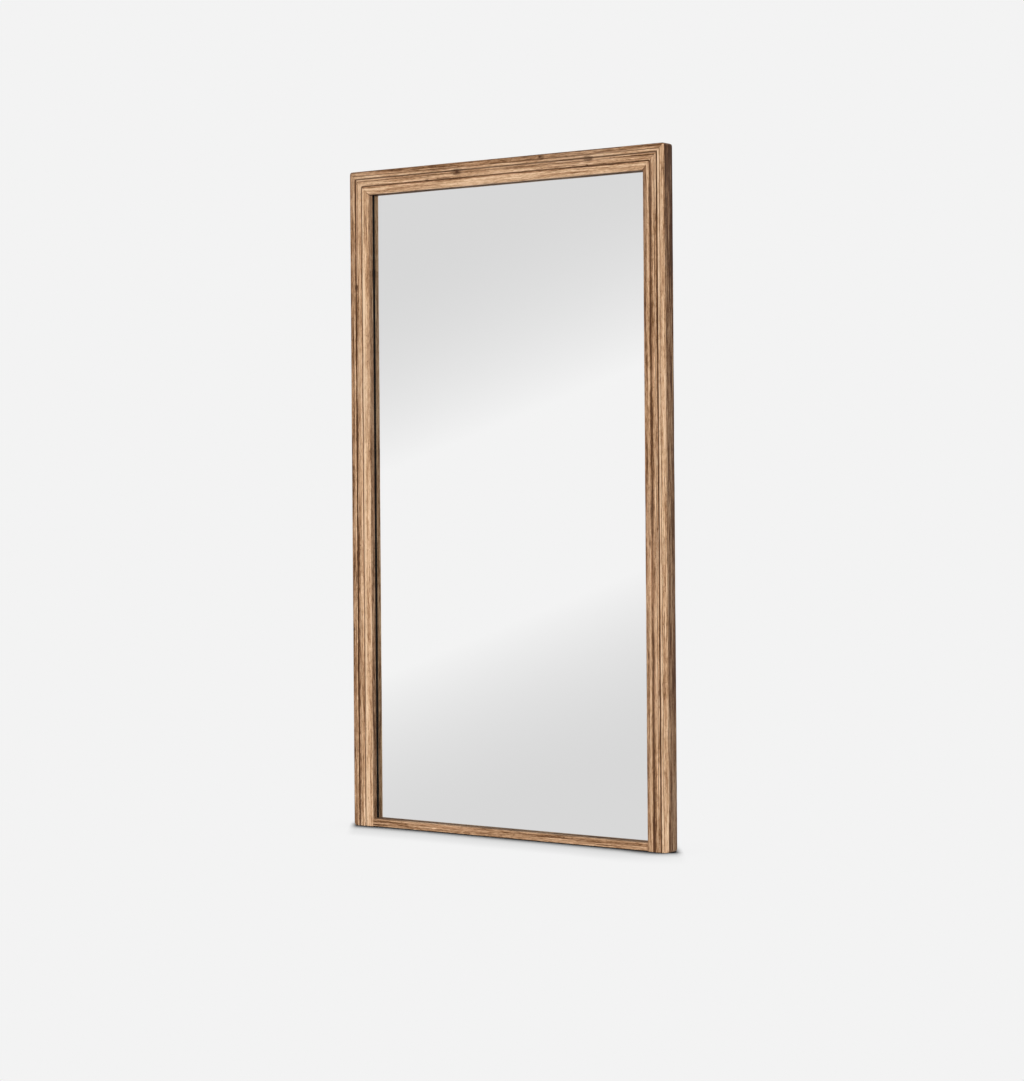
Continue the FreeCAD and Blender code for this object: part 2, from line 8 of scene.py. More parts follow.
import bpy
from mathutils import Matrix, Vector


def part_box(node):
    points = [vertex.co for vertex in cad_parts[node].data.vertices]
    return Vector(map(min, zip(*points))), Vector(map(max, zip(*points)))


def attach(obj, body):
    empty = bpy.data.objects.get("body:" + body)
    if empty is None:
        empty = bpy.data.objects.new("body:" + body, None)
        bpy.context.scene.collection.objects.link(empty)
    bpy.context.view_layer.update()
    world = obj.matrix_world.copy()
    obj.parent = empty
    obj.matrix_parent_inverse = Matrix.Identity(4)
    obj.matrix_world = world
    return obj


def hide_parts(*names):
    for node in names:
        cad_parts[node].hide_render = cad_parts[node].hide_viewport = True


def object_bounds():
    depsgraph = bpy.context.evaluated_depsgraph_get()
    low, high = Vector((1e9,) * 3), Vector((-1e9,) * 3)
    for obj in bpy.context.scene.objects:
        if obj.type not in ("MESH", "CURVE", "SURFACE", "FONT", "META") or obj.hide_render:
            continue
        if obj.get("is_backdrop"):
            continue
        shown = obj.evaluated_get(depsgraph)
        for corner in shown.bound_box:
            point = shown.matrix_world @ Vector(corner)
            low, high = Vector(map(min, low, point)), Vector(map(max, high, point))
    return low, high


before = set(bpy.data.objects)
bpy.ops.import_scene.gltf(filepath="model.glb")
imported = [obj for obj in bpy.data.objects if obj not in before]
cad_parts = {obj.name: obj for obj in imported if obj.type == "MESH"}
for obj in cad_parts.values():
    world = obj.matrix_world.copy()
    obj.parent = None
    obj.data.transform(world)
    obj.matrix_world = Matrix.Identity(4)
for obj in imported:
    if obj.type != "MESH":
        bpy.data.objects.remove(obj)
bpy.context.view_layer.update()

# %% The tools
import math

import bmesh
import bpy
import numpy as np
from bmesh.types import BMEdge, BMVert
from mathutils import Matrix, Vector, noise

MM = 0.001
scene = bpy.context.scene

# %% [markdown]
# ## Sizes taken from the frame
# Only a few lengths are repeated here, the ones that shape the moulding.  The rest is read
# from the boxes of the CAD nodes, so that each piece sits where the CAD says.


# %% Sizes of the whole mirror, in millimetres
def box_mm(node):
    """A CAD node's lowest and highest corner, in millimetres."""
    low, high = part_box(node)
    return low / MM, high / MM


stile_low, stile_high = box_mm("left_stile")
HALF_WIDTH = -stile_low.x
HEIGHT = box_mm("top_rail")[1].z
DEPTH = 50.8
BACK = stile_high.y
FRONT = BACK - DEPTH
FACE = stile_high.x - stile_low.x
OPENING_HALF = HALF_WIDTH - FACE
print("half width", HALF_WIDTH, "height", HEIGHT, "front", FRONT, "face", FACE)


# %% [markdown]
# ## Drawing an outline
# A moulding is a cross-section that is pushed along a line.  The pencil below draws such a
# section the way a draughtsman would: it starts as one vertex, which is extruded for a
# straight run and spun for an arc.  "across" is the distance from the member's outer edge
# and "drop" the distance behind its foremost line.


# %% A pencil that draws sections
def only(kind, parts):
    """Those of an operator's parts that are vertices, or edges."""
    return [part for part in parts if isinstance(part, kind)]


class Pencil:
    """Draws a closed outline in the XY plane from extruded and spun vertices."""

    def __init__(self, across, drop):
        self.mesh = bmesh.new()
        self.first = self.tip = self.mesh.verts.new((across, drop, 0))

    def line(self, *points):
        """Straight runs from point to point."""
        for across, drop in points:
            grown = bmesh.ops.extrude_vert_indiv(self.mesh, verts=[self.tip])
            self.tip = grown["verts"][0]
            self.tip.co = (across, drop, 0)

    def spin(self, centre, angle, steps):
        spun = bmesh.ops.spin(self.mesh, geom=[self.tip], cent=centre, axis=(0, 0, 1),
                              angle=angle, steps=steps)
        self.tip = only(BMVert, spun["geom_last"])[0]

    def arc(self, across, drop, rise, steps):
        """An arc to a point, whose middle stands out from the chord by rise."""
        start, end = self.tip.co.copy(), Vector((across, drop, 0))
        chord = end - start
        outwards = Vector((chord.y, -chord.x, 0)).normalized()
        radius = (chord.length ** 2 / 4 + rise ** 2) / (2 * abs(rise))
        side = math.copysign(1, rise)
        centre = (start + end) / 2 + outwards * side * (abs(rise) - radius)
        self.spin(centre, side * 2 * math.asin(min(1.0, chord.length / 2 / radius)), steps)

    def quarter(self, across, drop, steps):
        """A quarter circle that stands out from its chord."""
        chord = (Vector((across, drop, 0)) - self.tip.co).length
        self.arc(across, drop, chord * (math.sqrt(2) - 1) / 2, steps)

    def swing(self, across, drop, degrees, steps):
        """A circular run about a centre."""
        self.spin((across, drop, 0), math.radians(degrees), steps)

    def close(self, longest):
        """Joins the ends, splits the long edges and fills the outline with one face."""
        self.mesh.edges.new((self.tip, self.first))
        for edge in list(self.mesh.edges):
            cuts = int(edge.calc_length() / longest)
            if cuts:
                bmesh.ops.subdivide_edges(self.mesh, edges=[edge], cuts=cuts)
        made = bmesh.ops.contextual_create(self.mesh, geom=self.mesh.edges[:])
        return self.mesh, made["faces"][0]


# %% [markdown]
# ## The moulding's section
# Seen from outside to inside the face has a roll, a bead, a square groove, a reed, a wide
# band, a deep groove and a long quarter-round that falls to the glass.  Behind the lip are
# the steps for the glass and for the backing board.

# %% Draw the moulding
ROLL_RADIUS, ROLL_WIDTH = 8.0, 15.4
FLAT_DROP, QUIRK_DROP = 0.7, 1.5
LIP_BACK, BOARD_FRONT = 26.6, 35.6
GLASS_POCKET, BOARD_POCKET = 10.0, 21.0


def moulding_outline():
    """The closed section of the stiles and the top rail."""
    glass_step, board_step = FACE - GLASS_POCKET, FACE - BOARD_POCKET
    pencil = Pencil(2.0, DEPTH)
    pencil.quarter(0, DEPTH - 2.0, 4)
    pencil.line((0, ROLL_RADIUS + 0.5))
    pencil.quarter(ROLL_RADIUS, 0.5, 9)
    pencil.line((ROLL_WIDTH - 0.4, 0.66), (ROLL_WIDTH, 0.95), (15.95, QUIRK_DROP + 0.15),
                (16.5, 1.0))
    pencil.arc(23.7, 1.0, 0.85, 8)  # the bead, and then the square groove
    pencil.line((24.1, 1.5), (24.6, 2.6), (28.0, 2.6), (28.7, 1.4), (29.3, FLAT_DROP))
    pencil.arc(33.6, FLAT_DROP + 0.1, 0.35, 6)  # the reed
    pencil.line((34.35, QUIRK_DROP + 0.1), (35.1, FLAT_DROP + 0.1))
    pencil.arc(48.3, FLAT_DROP, 0.35, 9)  # the wide band, and then the deep groove
    pencil.line((48.8, 1.1), (49.4, 3.1), (51.2, 3.1), (52.2, 2.6))
    pencil.arc(58.4, 1.05, 0.4, 5)
    pencil.line((58.9, 1.02))
    pencil.arc(76.4, 4.6, 0.55, 11)  # the long quarter-round
    pencil.quarter(FACE, 6.2, 4)
    pencil.line((FACE, LIP_BACK), (glass_step, LIP_BACK), (glass_step, BOARD_FRONT),
                (board_step, BOARD_FRONT), (board_step, DEPTH))
    return pencil.close(longest=5.5)


# %% [markdown]
# ## Where hands and brushes rub
# Old wood is pale on its crests and dark in its grooves.  A number is kept at each point of
# the section that says how far it stands above its surroundings: the point is compared
# with the middle of the two points a few millimetres away on either side.  The sweep
# copies the number along the whole member, and the wood's finish reads it.

# %% Mark the crests and the grooves of a section
RUB_REACH, RUB_FULL = 2.6, 1.1
REVEAL_STARTS, REVEAL_PAINTED_SHADE = 7.0, -0.22


def mark_rubbed(mesh, face, patina_and_shade):
    """Stores +1 on full crests and -1 in full grooves, in the attribute 'rubbed'.

    The second attribute gets the member's own tone and painted shade, by the distance
    from its outer edge; the reveal inside the opening gets a flat painted shade.
    """
    layer = mesh.verts.layers.float.new("rubbed")
    tone = mesh.verts.layers.float.new("patina_and_shade")
    for vert in mesh.verts:
        vert[tone] = float(np.interp(vert.co.x, *zip(*patina_and_shade)))
        # The reveal inside the opening is darkened with a flat painted shade.
        if vert.co.x > FACE - 0.1 and vert.co.y > REVEAL_STARTS:
            vert[tone] = REVEAL_PAINTED_SHADE
    ring = [loop.vert for loop in face.loops]
    points = np.array([vert.co[:2] for vert in ring])
    if face.normal.z < 0:
        ring, points = ring[::-1], points[::-1]
    closed = np.vstack([points, points[:1]])
    place = np.concatenate([[0], np.cumsum(np.linalg.norm(np.diff(closed, axis=0), axis=1))])
    tripled = np.concatenate([place[:-1] - place[-1], place, place[1:] + place[-1]])
    around = [np.concatenate([closed[:-1, k], closed[:, k], closed[1:, k]]) for k in (0, 1)]

    def at(where):
        return np.stack([np.interp(where, tripled, track) for track in around], -1)

    ahead, behind = at(place[:-1] + RUB_REACH), at(place[:-1] - RUB_REACH)
    run = ahead - behind
    outwards = np.stack([run[:, 1], -run[:, 0]], -1)
    outwards /= np.linalg.norm(outwards, axis=1)[:, None]
    stand = ((points - (ahead + behind) / 2) * outwards).sum(1)
    for vert, height in zip(ring, stand):
        vert[layer] = max(-1.0, min(1.0, height / RUB_FULL))


# %% [markdown]
# ## Pushing the section along its member
# The section is extruded a short step at a time.  Steps are 9 mm long on the straight and
# much shorter near a mitre, a foot or a knock, where the wood changes shape quickly.

# %% Stations along a member, and the sweep
COARSE_STEP, FINE_STEP = 9.0, 0.6
FINE_REACH, STEP_GROWTH = 9.0, 0.25
STOP_SHORT, STOP_SHARE = 8.0, 0.8


def stations(start, end, fine_places):
    """Places from start to end, close together round the fine places."""
    places = [start]
    while places[-1] < end - FINE_STEP * 0.4:
        here = places[-1]
        nearest = min(abs(here - fine) for fine in fine_places)
        step = min(COARSE_STEP,
                   max(FINE_STEP, FINE_STEP + (nearest - FINE_REACH) * STEP_GROWTH))
        ahead = [fine - here for fine in fine_places if fine > here]
        if ahead:
            step = max(FINE_STEP, min(step, (min(ahead) - STOP_SHORT) * STOP_SHARE))
        places.append(min(end, here + step))
    return places


def sweep(mesh, faces, places):
    """Extrudes flat faces along Z into a closed bar, with an edge loop at each place."""
    steps = len(places) - 1
    grown = bmesh.ops.extrude_face_region(mesh, geom=faces)
    bmesh.ops.translate(mesh, verts=only(BMVert, grown["geom"]), vec=(0, 0, steps))
    runs = [edge for edge in mesh.edges
            if abs(edge.verts[0].co.z - edge.verts[1].co.z) > steps / 2]
    bmesh.ops.subdivide_edges(mesh, edges=runs, cuts=steps - 1, use_grid_fill=True)
    for vert in mesh.verts:
        vert.co.z = places[round(vert.co.z)]


# %% [markdown]
# ## Mitres, softened corners and feet
# A mitre is a taper of the bar's length: the further a line lies from the outer edge, the
# shorter it is.  The corners aren't crisp: each line of the moulding turns the corner on its
# own small radius, which grows and shrinks across the face.

# %% Shape the ends of a member
CORNER_ACROSS = (0.0, 8.0, 15.4, 28.0, 50.0, 60.0, 78.0)
CORNER_RADII = (9.0, 4.0, 1.5, 2.0, 7.0, 6.0, 1.5)
FOOT_RADIUS, FOOT_REACH = 9.0, 26.0
MITRE_GAP, GAP_REACH = 0.16, 14
SEAM_DIRT, SEAM_REACH = ((0, 0.08), (40, 0.15), (54, 0.5), (78, 0.8)), 2.2


def mitre(mesh, reach):
    """Shortens every line of the bar to the length that its place across gives."""
    for vert in mesh.verts:
        vert.co.z *= 1 - vert.co.x / reach


def soften_corners(mesh, reach, lower_end):
    """Rounds the moulding's lines where they meet the next member's, and dirties the seam."""
    tone = mesh.verts.layers.float["patina_and_shade"]
    for vert in mesh.verts:
        across, along = vert.co.x, vert.co.z
        if along < 0 and not lower_end:
            continue
        left = reach - across - abs(along)
        radius = float(np.interp(across, CORNER_ACROSS, CORNER_RADII))
        seat = 1 if vert.co.y < LIP_BACK - 1 else 0
        gap = MITRE_GAP * seat * (1 + 0.8 * noise.noise(Vector((across / 9, reach, 3.1))))
        if left < radius:
            trim = radius * (1 - 1 / math.sqrt(2))
            moved = trim + left * (1 - trim / radius)
            vert.co.x = across + radius - math.sqrt(radius ** 2 - (radius - moved) ** 2)
            left = moved
        seam = float(np.interp(across, *zip(*SEAM_DIRT))) * max(0.0, 1 - left / SEAM_REACH)
        vert[tone] -= seam * seat
        left += gap * max(0.0, 1 - left / GAP_REACH)
        vert.co.z = math.copysign(reach - across - left, along)


def round_foot(mesh):
    """Wears the foot's outer corner to a round and breaks its sharp lower edge."""
    for vert in mesh.verts:
        height = vert.co.z
        if height < FOOT_RADIUS:
            bite = FOOT_RADIUS - math.sqrt(FOOT_RADIUS ** 2 - (FOOT_RADIUS - height) ** 2)
            vert.co.x += bite * max(0.0, 1 - vert.co.x / FOOT_REACH)


# %% [markdown]
# ## Wear
# Planing marks, knocks and years of dusting take wood away and never add any, so every move
# here goes inwards.  Dirt gathers in the knocks.  The noise is the same each time.

# %% Wear a member
RIPPLE_DEPTH, CHATTER_DEPTH, CREST_DEPTH = 0.16, 0.10, 0.45
KNOCK_DIRT = 1.1


def wear(mesh, seed, knocks):
    """Moves the surface inwards: a slow ripple, rubbed crests and a few dirty knocks."""
    bmesh.ops.recalc_face_normals(mesh, faces=mesh.faces[:])
    mesh.normal_update()
    layer = mesh.verts.layers.float["rubbed"]
    tone = mesh.verts.layers.float["patina_and_shade"]
    moves = []
    for vert in mesh.verts:
        across, drop, along = vert.co
        outwards = Vector((vert.normal.x, vert.normal.y, 0))
        if outwards.length < 0.4 or (drop > LIP_BACK - 2 and across > 3):
            continue
        ripple = noise.noise(Vector((across / 11 + seed, drop / 11, along / 140)))
        chatter = noise.noise(Vector((across / 5, drop / 5 + seed, along / 24)))
        depth = RIPPLE_DEPTH * (1 + ripple) * 0.5 + CHATTER_DEPTH * (1 + chatter) * 0.5
        depth += max(0.0, vert[layer]) * CREST_DEPTH * max(0.0, ripple + 0.25)
        for place, line, size, deep in knocks:
            apart = ((along - place) / size) ** 2 + ((across - line) / (size * 0.7)) ** 2
            if apart < 9:
                depth += deep * math.exp(-apart)
                vert[tone] -= deep * KNOCK_DIRT * math.exp(-apart)
        moves.append((vert, outwards.normalized() * depth))
    for vert, move in moves:
        vert.co -= move


# %% [markdown]
# ## Handing a finished shape over
# Each finished mesh becomes one object at the origin, with its place in its vertices.  Its
# faces are made to point outwards, it is shaded smooth except across sharp edges, it gets
# its finishes, it is hung on the body that it rides on, and the CAD nodes that it stands for
# are hidden.


# %% Turn a mesh into a piece
def make_piece(mesh, name, finishes, body, stands_for, crease=32):
    """Makes the bmesh, in millimetres, into a piece of the mirror in metres."""
    bmesh.ops.remove_doubles(mesh, verts=mesh.verts[:], dist=0.0005)
    bmesh.ops.recalc_face_normals(mesh, faces=mesh.faces[:])
    bmesh.ops.scale(mesh, verts=mesh.verts[:], vec=(MM, MM, MM))
    data = bpy.data.meshes.new(name)
    mesh.to_mesh(data)
    mesh.free()
    data.shade_smooth()
    data.set_sharp_from_angle(angle=math.radians(crease))
    for finish in finishes:
        data.materials.append(finish)
    piece = bpy.data.objects.new(name, data)
    scene.collection.objects.link(piece)
    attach(piece, body)
    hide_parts(*stands_for)
    print(name, "faces", len(data.polygons), "size mm",
          [round(side / MM, 1) for side in piece.dimensions])


# %% [markdown]
# ## Mixing a finish
# A finish is a small network of nodes, and so is the light of the room.  A recipe adds one
# node at a time and gets back its output, so that it reads from top to bottom like a list
# of steps.


# %% Recipes, and a mixer for finishes
def linear(red, green, blue):
    """A colour as one sees it on a screen, 0 to 255, as the linear colour that nodes use."""
    parts = [part / 255 for part in (red, green, blue)]
    return [part / 12.92 if part <= 0.04045 else ((part + 0.055) / 1.055) ** 2.4
            for part in parts] + [1.0]


class Recipe:
    """Adds nodes to one tree and links them."""

    def __init__(self, tree):
        self.tree = tree

    def add(self, kind, inputs=None, **settings):
        """A new node; each input is a value or another node's output."""
        node = self.tree.nodes.new(kind)
        for name, value in settings.items():
            setattr(node, name, value)
        for socket, value in (inputs or {}).items():
            self.feed(node, socket, value)
        return node

    def feed(self, node, socket, value):
        if isinstance(value, bpy.types.NodeSocket):
            self.tree.links.new(value, node.inputs[socket])
        else:
            node.inputs[socket].default_value = value

    def math(self, operation, first, second=0.0, clamp=False):
        node = self.add("ShaderNodeMath", {0: first, 1: second}, operation=operation,
                        use_clamp=clamp)
        return node.outputs[0]

    def plus(self, first, second, clamp=False):
        return self.math("ADD", first, second, clamp)

    def less(self, first, second, clamp=False):
        return self.math("SUBTRACT", first, second, clamp)

    def times(self, first, second):
        return self.math("MULTIPLY", first, second)

    def size(self, value):
        return self.math("ABSOLUTE", value)

    def vector(self, operation, first, second=(0, 0, 0), output=0):
        node = self.add("ShaderNodeVectorMath", {0: first, 1: second}, operation=operation)
        return node.outputs[output]

    def scaled(self, vector, factor):
        inputs = {0: vector, "Scale": factor}
        return self.add("ShaderNodeVectorMath", inputs, operation="SCALE").outputs[0]

    def parts(self, vector):
        return self.add("ShaderNodeSeparateXYZ", {0: vector}).outputs

    def choose(self, amount, first, second):
        """A number between two others."""
        inputs = {0: amount, 2: first, 3: second}
        return self.add("ShaderNodeMix", inputs, data_type="FLOAT").outputs[0]

    def mix(self, amount, first, second, blend="MIX"):
        """A colour between two others."""
        inputs = {0: amount, 6: first, 7: second}
        return self.add("ShaderNodeMix", inputs, data_type="RGBA", blend_type=blend).outputs[2]


class Mixer(Recipe):
    """Builds one material's nodes."""

    def __init__(self, name):
        self.material = bpy.data.materials.new(name)
        self.material.use_nodes = True
        super().__init__(self.material.node_tree)
        self.shader = self.tree.nodes["Principled BSDF"]
        self.place = self.add("ShaderNodeTexCoord").outputs["Object"]

    def stretch(self, vector, scale, location=(0, 0, 0)):
        inputs = {"Vector": vector, "Scale": scale, "Location": location}
        return self.add("ShaderNodeMapping", inputs).outputs[0]

    def noise(self, vector, scale, detail=2.0, roughness=0.5, distortion=0.0, output=0):
        inputs = {"Vector": vector, "Scale": scale, "Detail": detail,
                  "Roughness": roughness, "Distortion": distortion}
        return self.add("ShaderNodeTexNoise", inputs).outputs[output]

    def span(self, value, low, high, to_low=0.0, to_high=1.0, smooth=False):
        """Maps the range low to high to another range, and stops at its ends."""
        inputs = {"Value": value, "From Min": low, "From Max": high,
                  "To Min": to_low, "To Max": to_high}
        kind = "SMOOTHSTEP" if smooth else "LINEAR"
        return self.add("ShaderNodeMapRange", inputs, interpolation_type=kind).outputs[0]

    def ramp(self, value, stops):
        """Colours along a value from 0 to 1."""
        node = self.add("ShaderNodeValToRGB", {"Fac": value})
        points = node.color_ramp.elements
        while len(points) < len(stops):
            points.new(0.5)
        for point, (place, colour) in zip(points, stops):
            point.position, point.color = place, colour
        return node.outputs[0]

    def bump(self, height, distance):
        inputs = {"Height": height, "Distance": distance, "Strength": 1.0}
        self.finish("Normal", self.add("ShaderNodeBump", inputs).outputs[0])

    def finish(self, socket, value):
        """Sets or links one socket of the shader."""
        self.feed(self.shader, socket, value)


# %% [markdown]
# ## Weathered pine
# Grain is noise that is stretched along the board: three times for short dark flecks, ten
# for fibres and over forty for streaks.  Broad early and late wood, a few long dark checks,
# grey and reddish patches and the rubbed crests and dirty grooves make it old.

# %% The wood's palette and its layers
WOOD_TONES = ((0.00, linear(77, 49, 29)), (0.22, linear(121, 86, 56)),
              (0.45, linear(166, 129, 97)), (0.66, linear(192, 155, 121)),
              (0.84, linear(214, 179, 145)), (1.00, linear(231, 201, 168)))
GREY_PATCH, RED_PATCH = linear(158, 136, 116), linear(178, 130, 98)
CHECK_BROWN, GROOVE_DIRT = linear(70, 46, 30), linear(64, 41, 26)
KNOT_BROWN, REBATE_SHADOW_BLACK = linear(70, 45, 29), linear(26, 20, 15)
# The near-black and the place where it starts paint the shadow in the rebate, on the reveal's last
# strip before the glass.
REBATE_SHADOW_FRONT = FRONT + LIP_BACK - 2.4
KNOT_LENGTH, KNOT_PUSH = 1.9, -0.55
MEAN_TONE, STREAK_WEIGHT = 0.62, 2.2
WILD_SIDE, WILD_FOOT = 1.7, 0.7

# name: (shift, how many times longer than wide, scale, detail, roughness)
GRAIN_LAYERS = {
    "broad": ((3, 1, 2), 22, 62.0, 2.0, 0.55),
    "streak": ((0, 5, 7), 44, 290.0, 5.0, 0.62),
    "fibre": ((0, 8, 1), 10, 440.0, 4.0, 0.7),
    "fleck": ((0, 4, 4), 3, 300.0, 3.0, 0.6),
    "patch": ((9, 2, 0), 5, 11.0, 2.0, 0.5),
    "check": ((0, 2, 9), 34, 260.0, 3.0, 0.6),
}


def along_grain(mixer, vector, grain, shift, longer):
    """Squeezes a pattern's coordinates along the grain, so that it stretches."""
    scale = (1 / longer, 1, 1) if grain == "X" else (1, 1, 1 / longer)
    return mixer.stretch(vector, scale, shift)


def add_knots(mixer, place, grain, knots):
    """Bends the grain round each knot; gives the bent place and where the knots are."""
    mask = None
    for x, z, radius in knots:
        wide, long = 1 / radius, 1 / (radius * KNOT_LENGTH)
        scale = [part / MM for part in ((long, 0, wide) if grain == "X" else (wide, 0, long))]
        centre = [-spot * MM * size for spot, size in zip((x, 0, z), scale)]
        local = mixer.stretch(mixer.place, scale, centre)
        ragged = mixer.less(mixer.noise(mixer.place, 320.0, 3.0), 0.5)
        apart = mixer.plus(mixer.vector("LENGTH", local, output="Value"),
                           mixer.times(ragged, 0.9))
        near = mixer.span(apart, 1.3, 0.45, smooth=True)
        push = mixer.scaled(mixer.scaled(local, near), KNOT_PUSH * radius * MM)
        place = mixer.vector("ADD", place, push)
        mask = near if mask is None else mixer.math("MAXIMUM", mask, near)
    return place, mask


# %% Recipe for a weathered board
def weathered_wood(name, grain, seed, knots=(), shade=0.0, rebate_shadow=True):
    """Old pine with its grain along X or Z; knots are (x, z, radius) in millimetres."""
    mixer = Mixer(name)
    drift = mixer.noise(along_grain(mixer, mixer.place, grain, (seed, 0, 0), 8), 9.0, 2.0,
                        output="Color")
    wander = mixer.scaled(mixer.vector("SUBTRACT", drift, (0.5, 0.5, 0.5)), 0.012)
    place, knot_mask = add_knots(mixer, mixer.vector("ADD", mixer.place, wander), grain, knots)
    layers = {}
    for layer, (shift, longer, scale, detail, roughness) in GRAIN_LAYERS.items():
        shift = (seed + shift[0], *shift[1:])
        layers[layer] = mixer.noise(along_grain(mixer, place, grain, shift, longer), scale,
                                    detail, roughness)

    # The outer sides and the wood near the floor are wilder than the face.
    spot = mixer.parts(mixer.place)
    outer = mixer.span(mixer.size(spot[0]), (HALF_WIDTH - 2.5) * MM, (HALF_WIDTH - 0.5) * MM)
    near_floor = mixer.span(spot[2], 0.30, 0.0) if grain == "Z" else 0.0
    wild = mixer.plus(mixer.times(outer, WILD_SIDE), mixer.times(near_floor, WILD_FOOT))
    tone = mixer.times(mixer.less(layers["streak"], 0.5), mixer.plus(wild, STREAK_WEIGHT))
    for layer, weight in (("broad", 0.7), ("fibre", 1.7), ("patch", 0.5)):
        tone = mixer.plus(tone, mixer.times(mixer.less(layers[layer], 0.5), weight))

    # The near side is darker at the top and along its back edge: this is painted shade.
    painted_shade_high = mixer.times(mixer.span(spot[2], 1.6, 2.12, 0.0, -0.55),
                             mixer.math("GREATER_THAN", spot[0], 0.0))
    painted_shade_back = mixer.span(spot[1], 4 * MM, 18 * MM, 0.0, -0.3)
    side_painted_shade = mixer.times(outer, mixer.plus(painted_shade_high, painted_shade_back))
    flecks = mixer.span(layers["fleck"], 0.61, 0.70, 0.0, -0.42)
    rubbed, patina_and_shade = [mixer.add("ShaderNodeAttribute", attribute_name=kept).outputs["Fac"]
                      for kept in ("rubbed", "patina_and_shade")]
    for part in (MEAN_TONE + shade, side_painted_shade, flecks, patina_and_shade):
        tone = mixer.plus(tone, part)
    crest = mixer.span(rubbed, 0.05, 0.8)
    colour = mixer.ramp(mixer.plus(tone, mixer.times(crest, 0.09), clamp=True), WOOD_TONES)

    check = mixer.span(layers["check"], 0.36, 0.30)
    dirt = mixer.times(mixer.span(rubbed, -0.04, -0.6),
                       mixer.span(layers["streak"], 0.2, 0.7, 1.0, 0.75))
    for amount, strength, tint in (
            (mixer.span(layers["patch"], 0.52, 0.72), 0.2, GREY_PATCH),
            (mixer.span(layers["broad"], 0.56, 0.75), 0.3, RED_PATCH),
            (check, 0.7, CHECK_BROWN), (dirt, 0.95, GROOVE_DIRT)):
        colour = mixer.mix(mixer.times(amount, strength), colour, tint)
    if knot_mask is not None:
        heart = mixer.times(knot_mask, mixer.span(layers["fibre"], 0.36, 0.58, 1.0, 0.5))
        colour = mixer.mix(heart, colour, KNOT_BROWN)
    if rebate_shadow:  # the reveal's last strip before the glass is darkened to black, a painted shadow in the rebate
        rebate_shadow_mask = mixer.span(spot[1], REBATE_SHADOW_FRONT * MM, (REBATE_SHADOW_FRONT + 0.6) * MM)
        for axis, edge in ((0, OPENING_HALF), (2, HEIGHT - FACE)):
            within = mixer.math("LESS_THAN", mixer.size(spot[axis]), (edge + 2) * MM)
            rebate_shadow_mask = mixer.times(rebate_shadow_mask, within)
        colour = mixer.mix(rebate_shadow_mask, colour, REBATE_SHADOW_BLACK)

    mixer.finish("Base Color", colour)
    mixer.finish("Roughness", mixer.span(layers["streak"], 0.3, 0.7, 0.72, 0.55))
    mixer.finish("Specular IOR Level", 0.3)
    height = mixer.plus(mixer.times(layers["streak"], 0.7), mixer.times(layers["fibre"], 0.35))
    mixer.bump(mixer.less(height, mixer.times(check, 0.8)), 0.7 * MM)
    return mixer.material


# %% [markdown]
# ## The moulded members
# Both stiles and the top rail are the same moulding.  Each has its own knots, knocks and
# tone, because each was sawn from another old board; the tone holds painted shade as well,
# where a face turns away from the light.

# %% Knots as (x, z, radius), and knocks as (along, across, size, depth)
LEFT_KNOTS = ((-580, 1754, 7),)
TOP_KNOTS = ((-168, 2104, 12), (159, 2123, 8), (335, 2106, 10), (-288, 2084, 5))
LEFT_KNOCKS = ((1754, 29, 4, 0.7), (1905, 26, 3, 0.6), (640, 8, 6, 0.5), (302, 27, 4, 0.8))
RIGHT_KNOCKS = ((1490, 4, 7, 0.2), (930, 60, 5, 0.5), (240, 12, 6, 0.5))
TOP_KNOCKS = ((155, 8, 3.5, 0.9), (-168, 30, 5, 0.6), (331, 48, 4, 0.7), (-430, 6, 5, 0.5))

# Tone of each part of the face, by the distance from the outer edge: below 0 is darker.
# Besides each board's own patina this is painted shade where a face turns away from the
# light: the darker rolls of the left stile and the top rail, and the right stile's darker
# quarter-round.
LEFT_PATINA_AND_SHADE = ((0, 0), (1.5, -0.3), (13, -0.3), (17.5, 0), (22, 0), (24.5, -0.62),
               (28.5, -0.75), (31.5, -0.05), (38, 0), (46, 0), (52, 0.1), (55, 0.42),
               (58, 0.42), (63, 0.14), (70, -0.05), (76.5, 0.05), (78, -0.12))
RIGHT_PATINA_AND_SHADE = ((0, -0.2), (1, 0.05), (18, 0.02), (20.5, 0.2), (23.6, 0), (25, -0.4),
                (28, -0.42), (31, -0.1), (38, 0), (44, -0.3), (50, -0.75), (54, -0.55),
                (57, -0.02), (60, 0.02), (65, -0.2), (78, -0.34))
TOP_PATINA_AND_SHADE = ((0, -0.5), (6, -0.42), (12, -0.2), (17, -0.2), (21, 0.06), (24, 0.04),
              (31, -0.12), (37, -0.2), (42, 0), (48, -0.05), (52, -0.5), (54, -0.35),
              (57, 0.12), (62, 0.08), (78, 0.1))
RAIL_PATINA_AND_SHADE = ((1, 0.2), (10, 0.14), (16, 0.02), (21, 0.16), (25, 0.16))


# %% Make the stiles and the top rail
def moulded_bar(start, end, seed, knocks, patina_and_shade):
    """A worn length of moulding with a mitre at its far end, and at both if it starts below 0."""
    mesh, face = moulding_outline()
    mark_rubbed(mesh, face, patina_and_shade)
    fine = [start, end] + [knock[0] for knock in knocks]
    sweep(mesh, [face], stations(start, end, fine))
    mitre(mesh, end)
    soften_corners(mesh, end, lower_end=start < 0)
    if start == 0:
        round_foot(mesh)
    wear(mesh, seed, knocks)
    return mesh


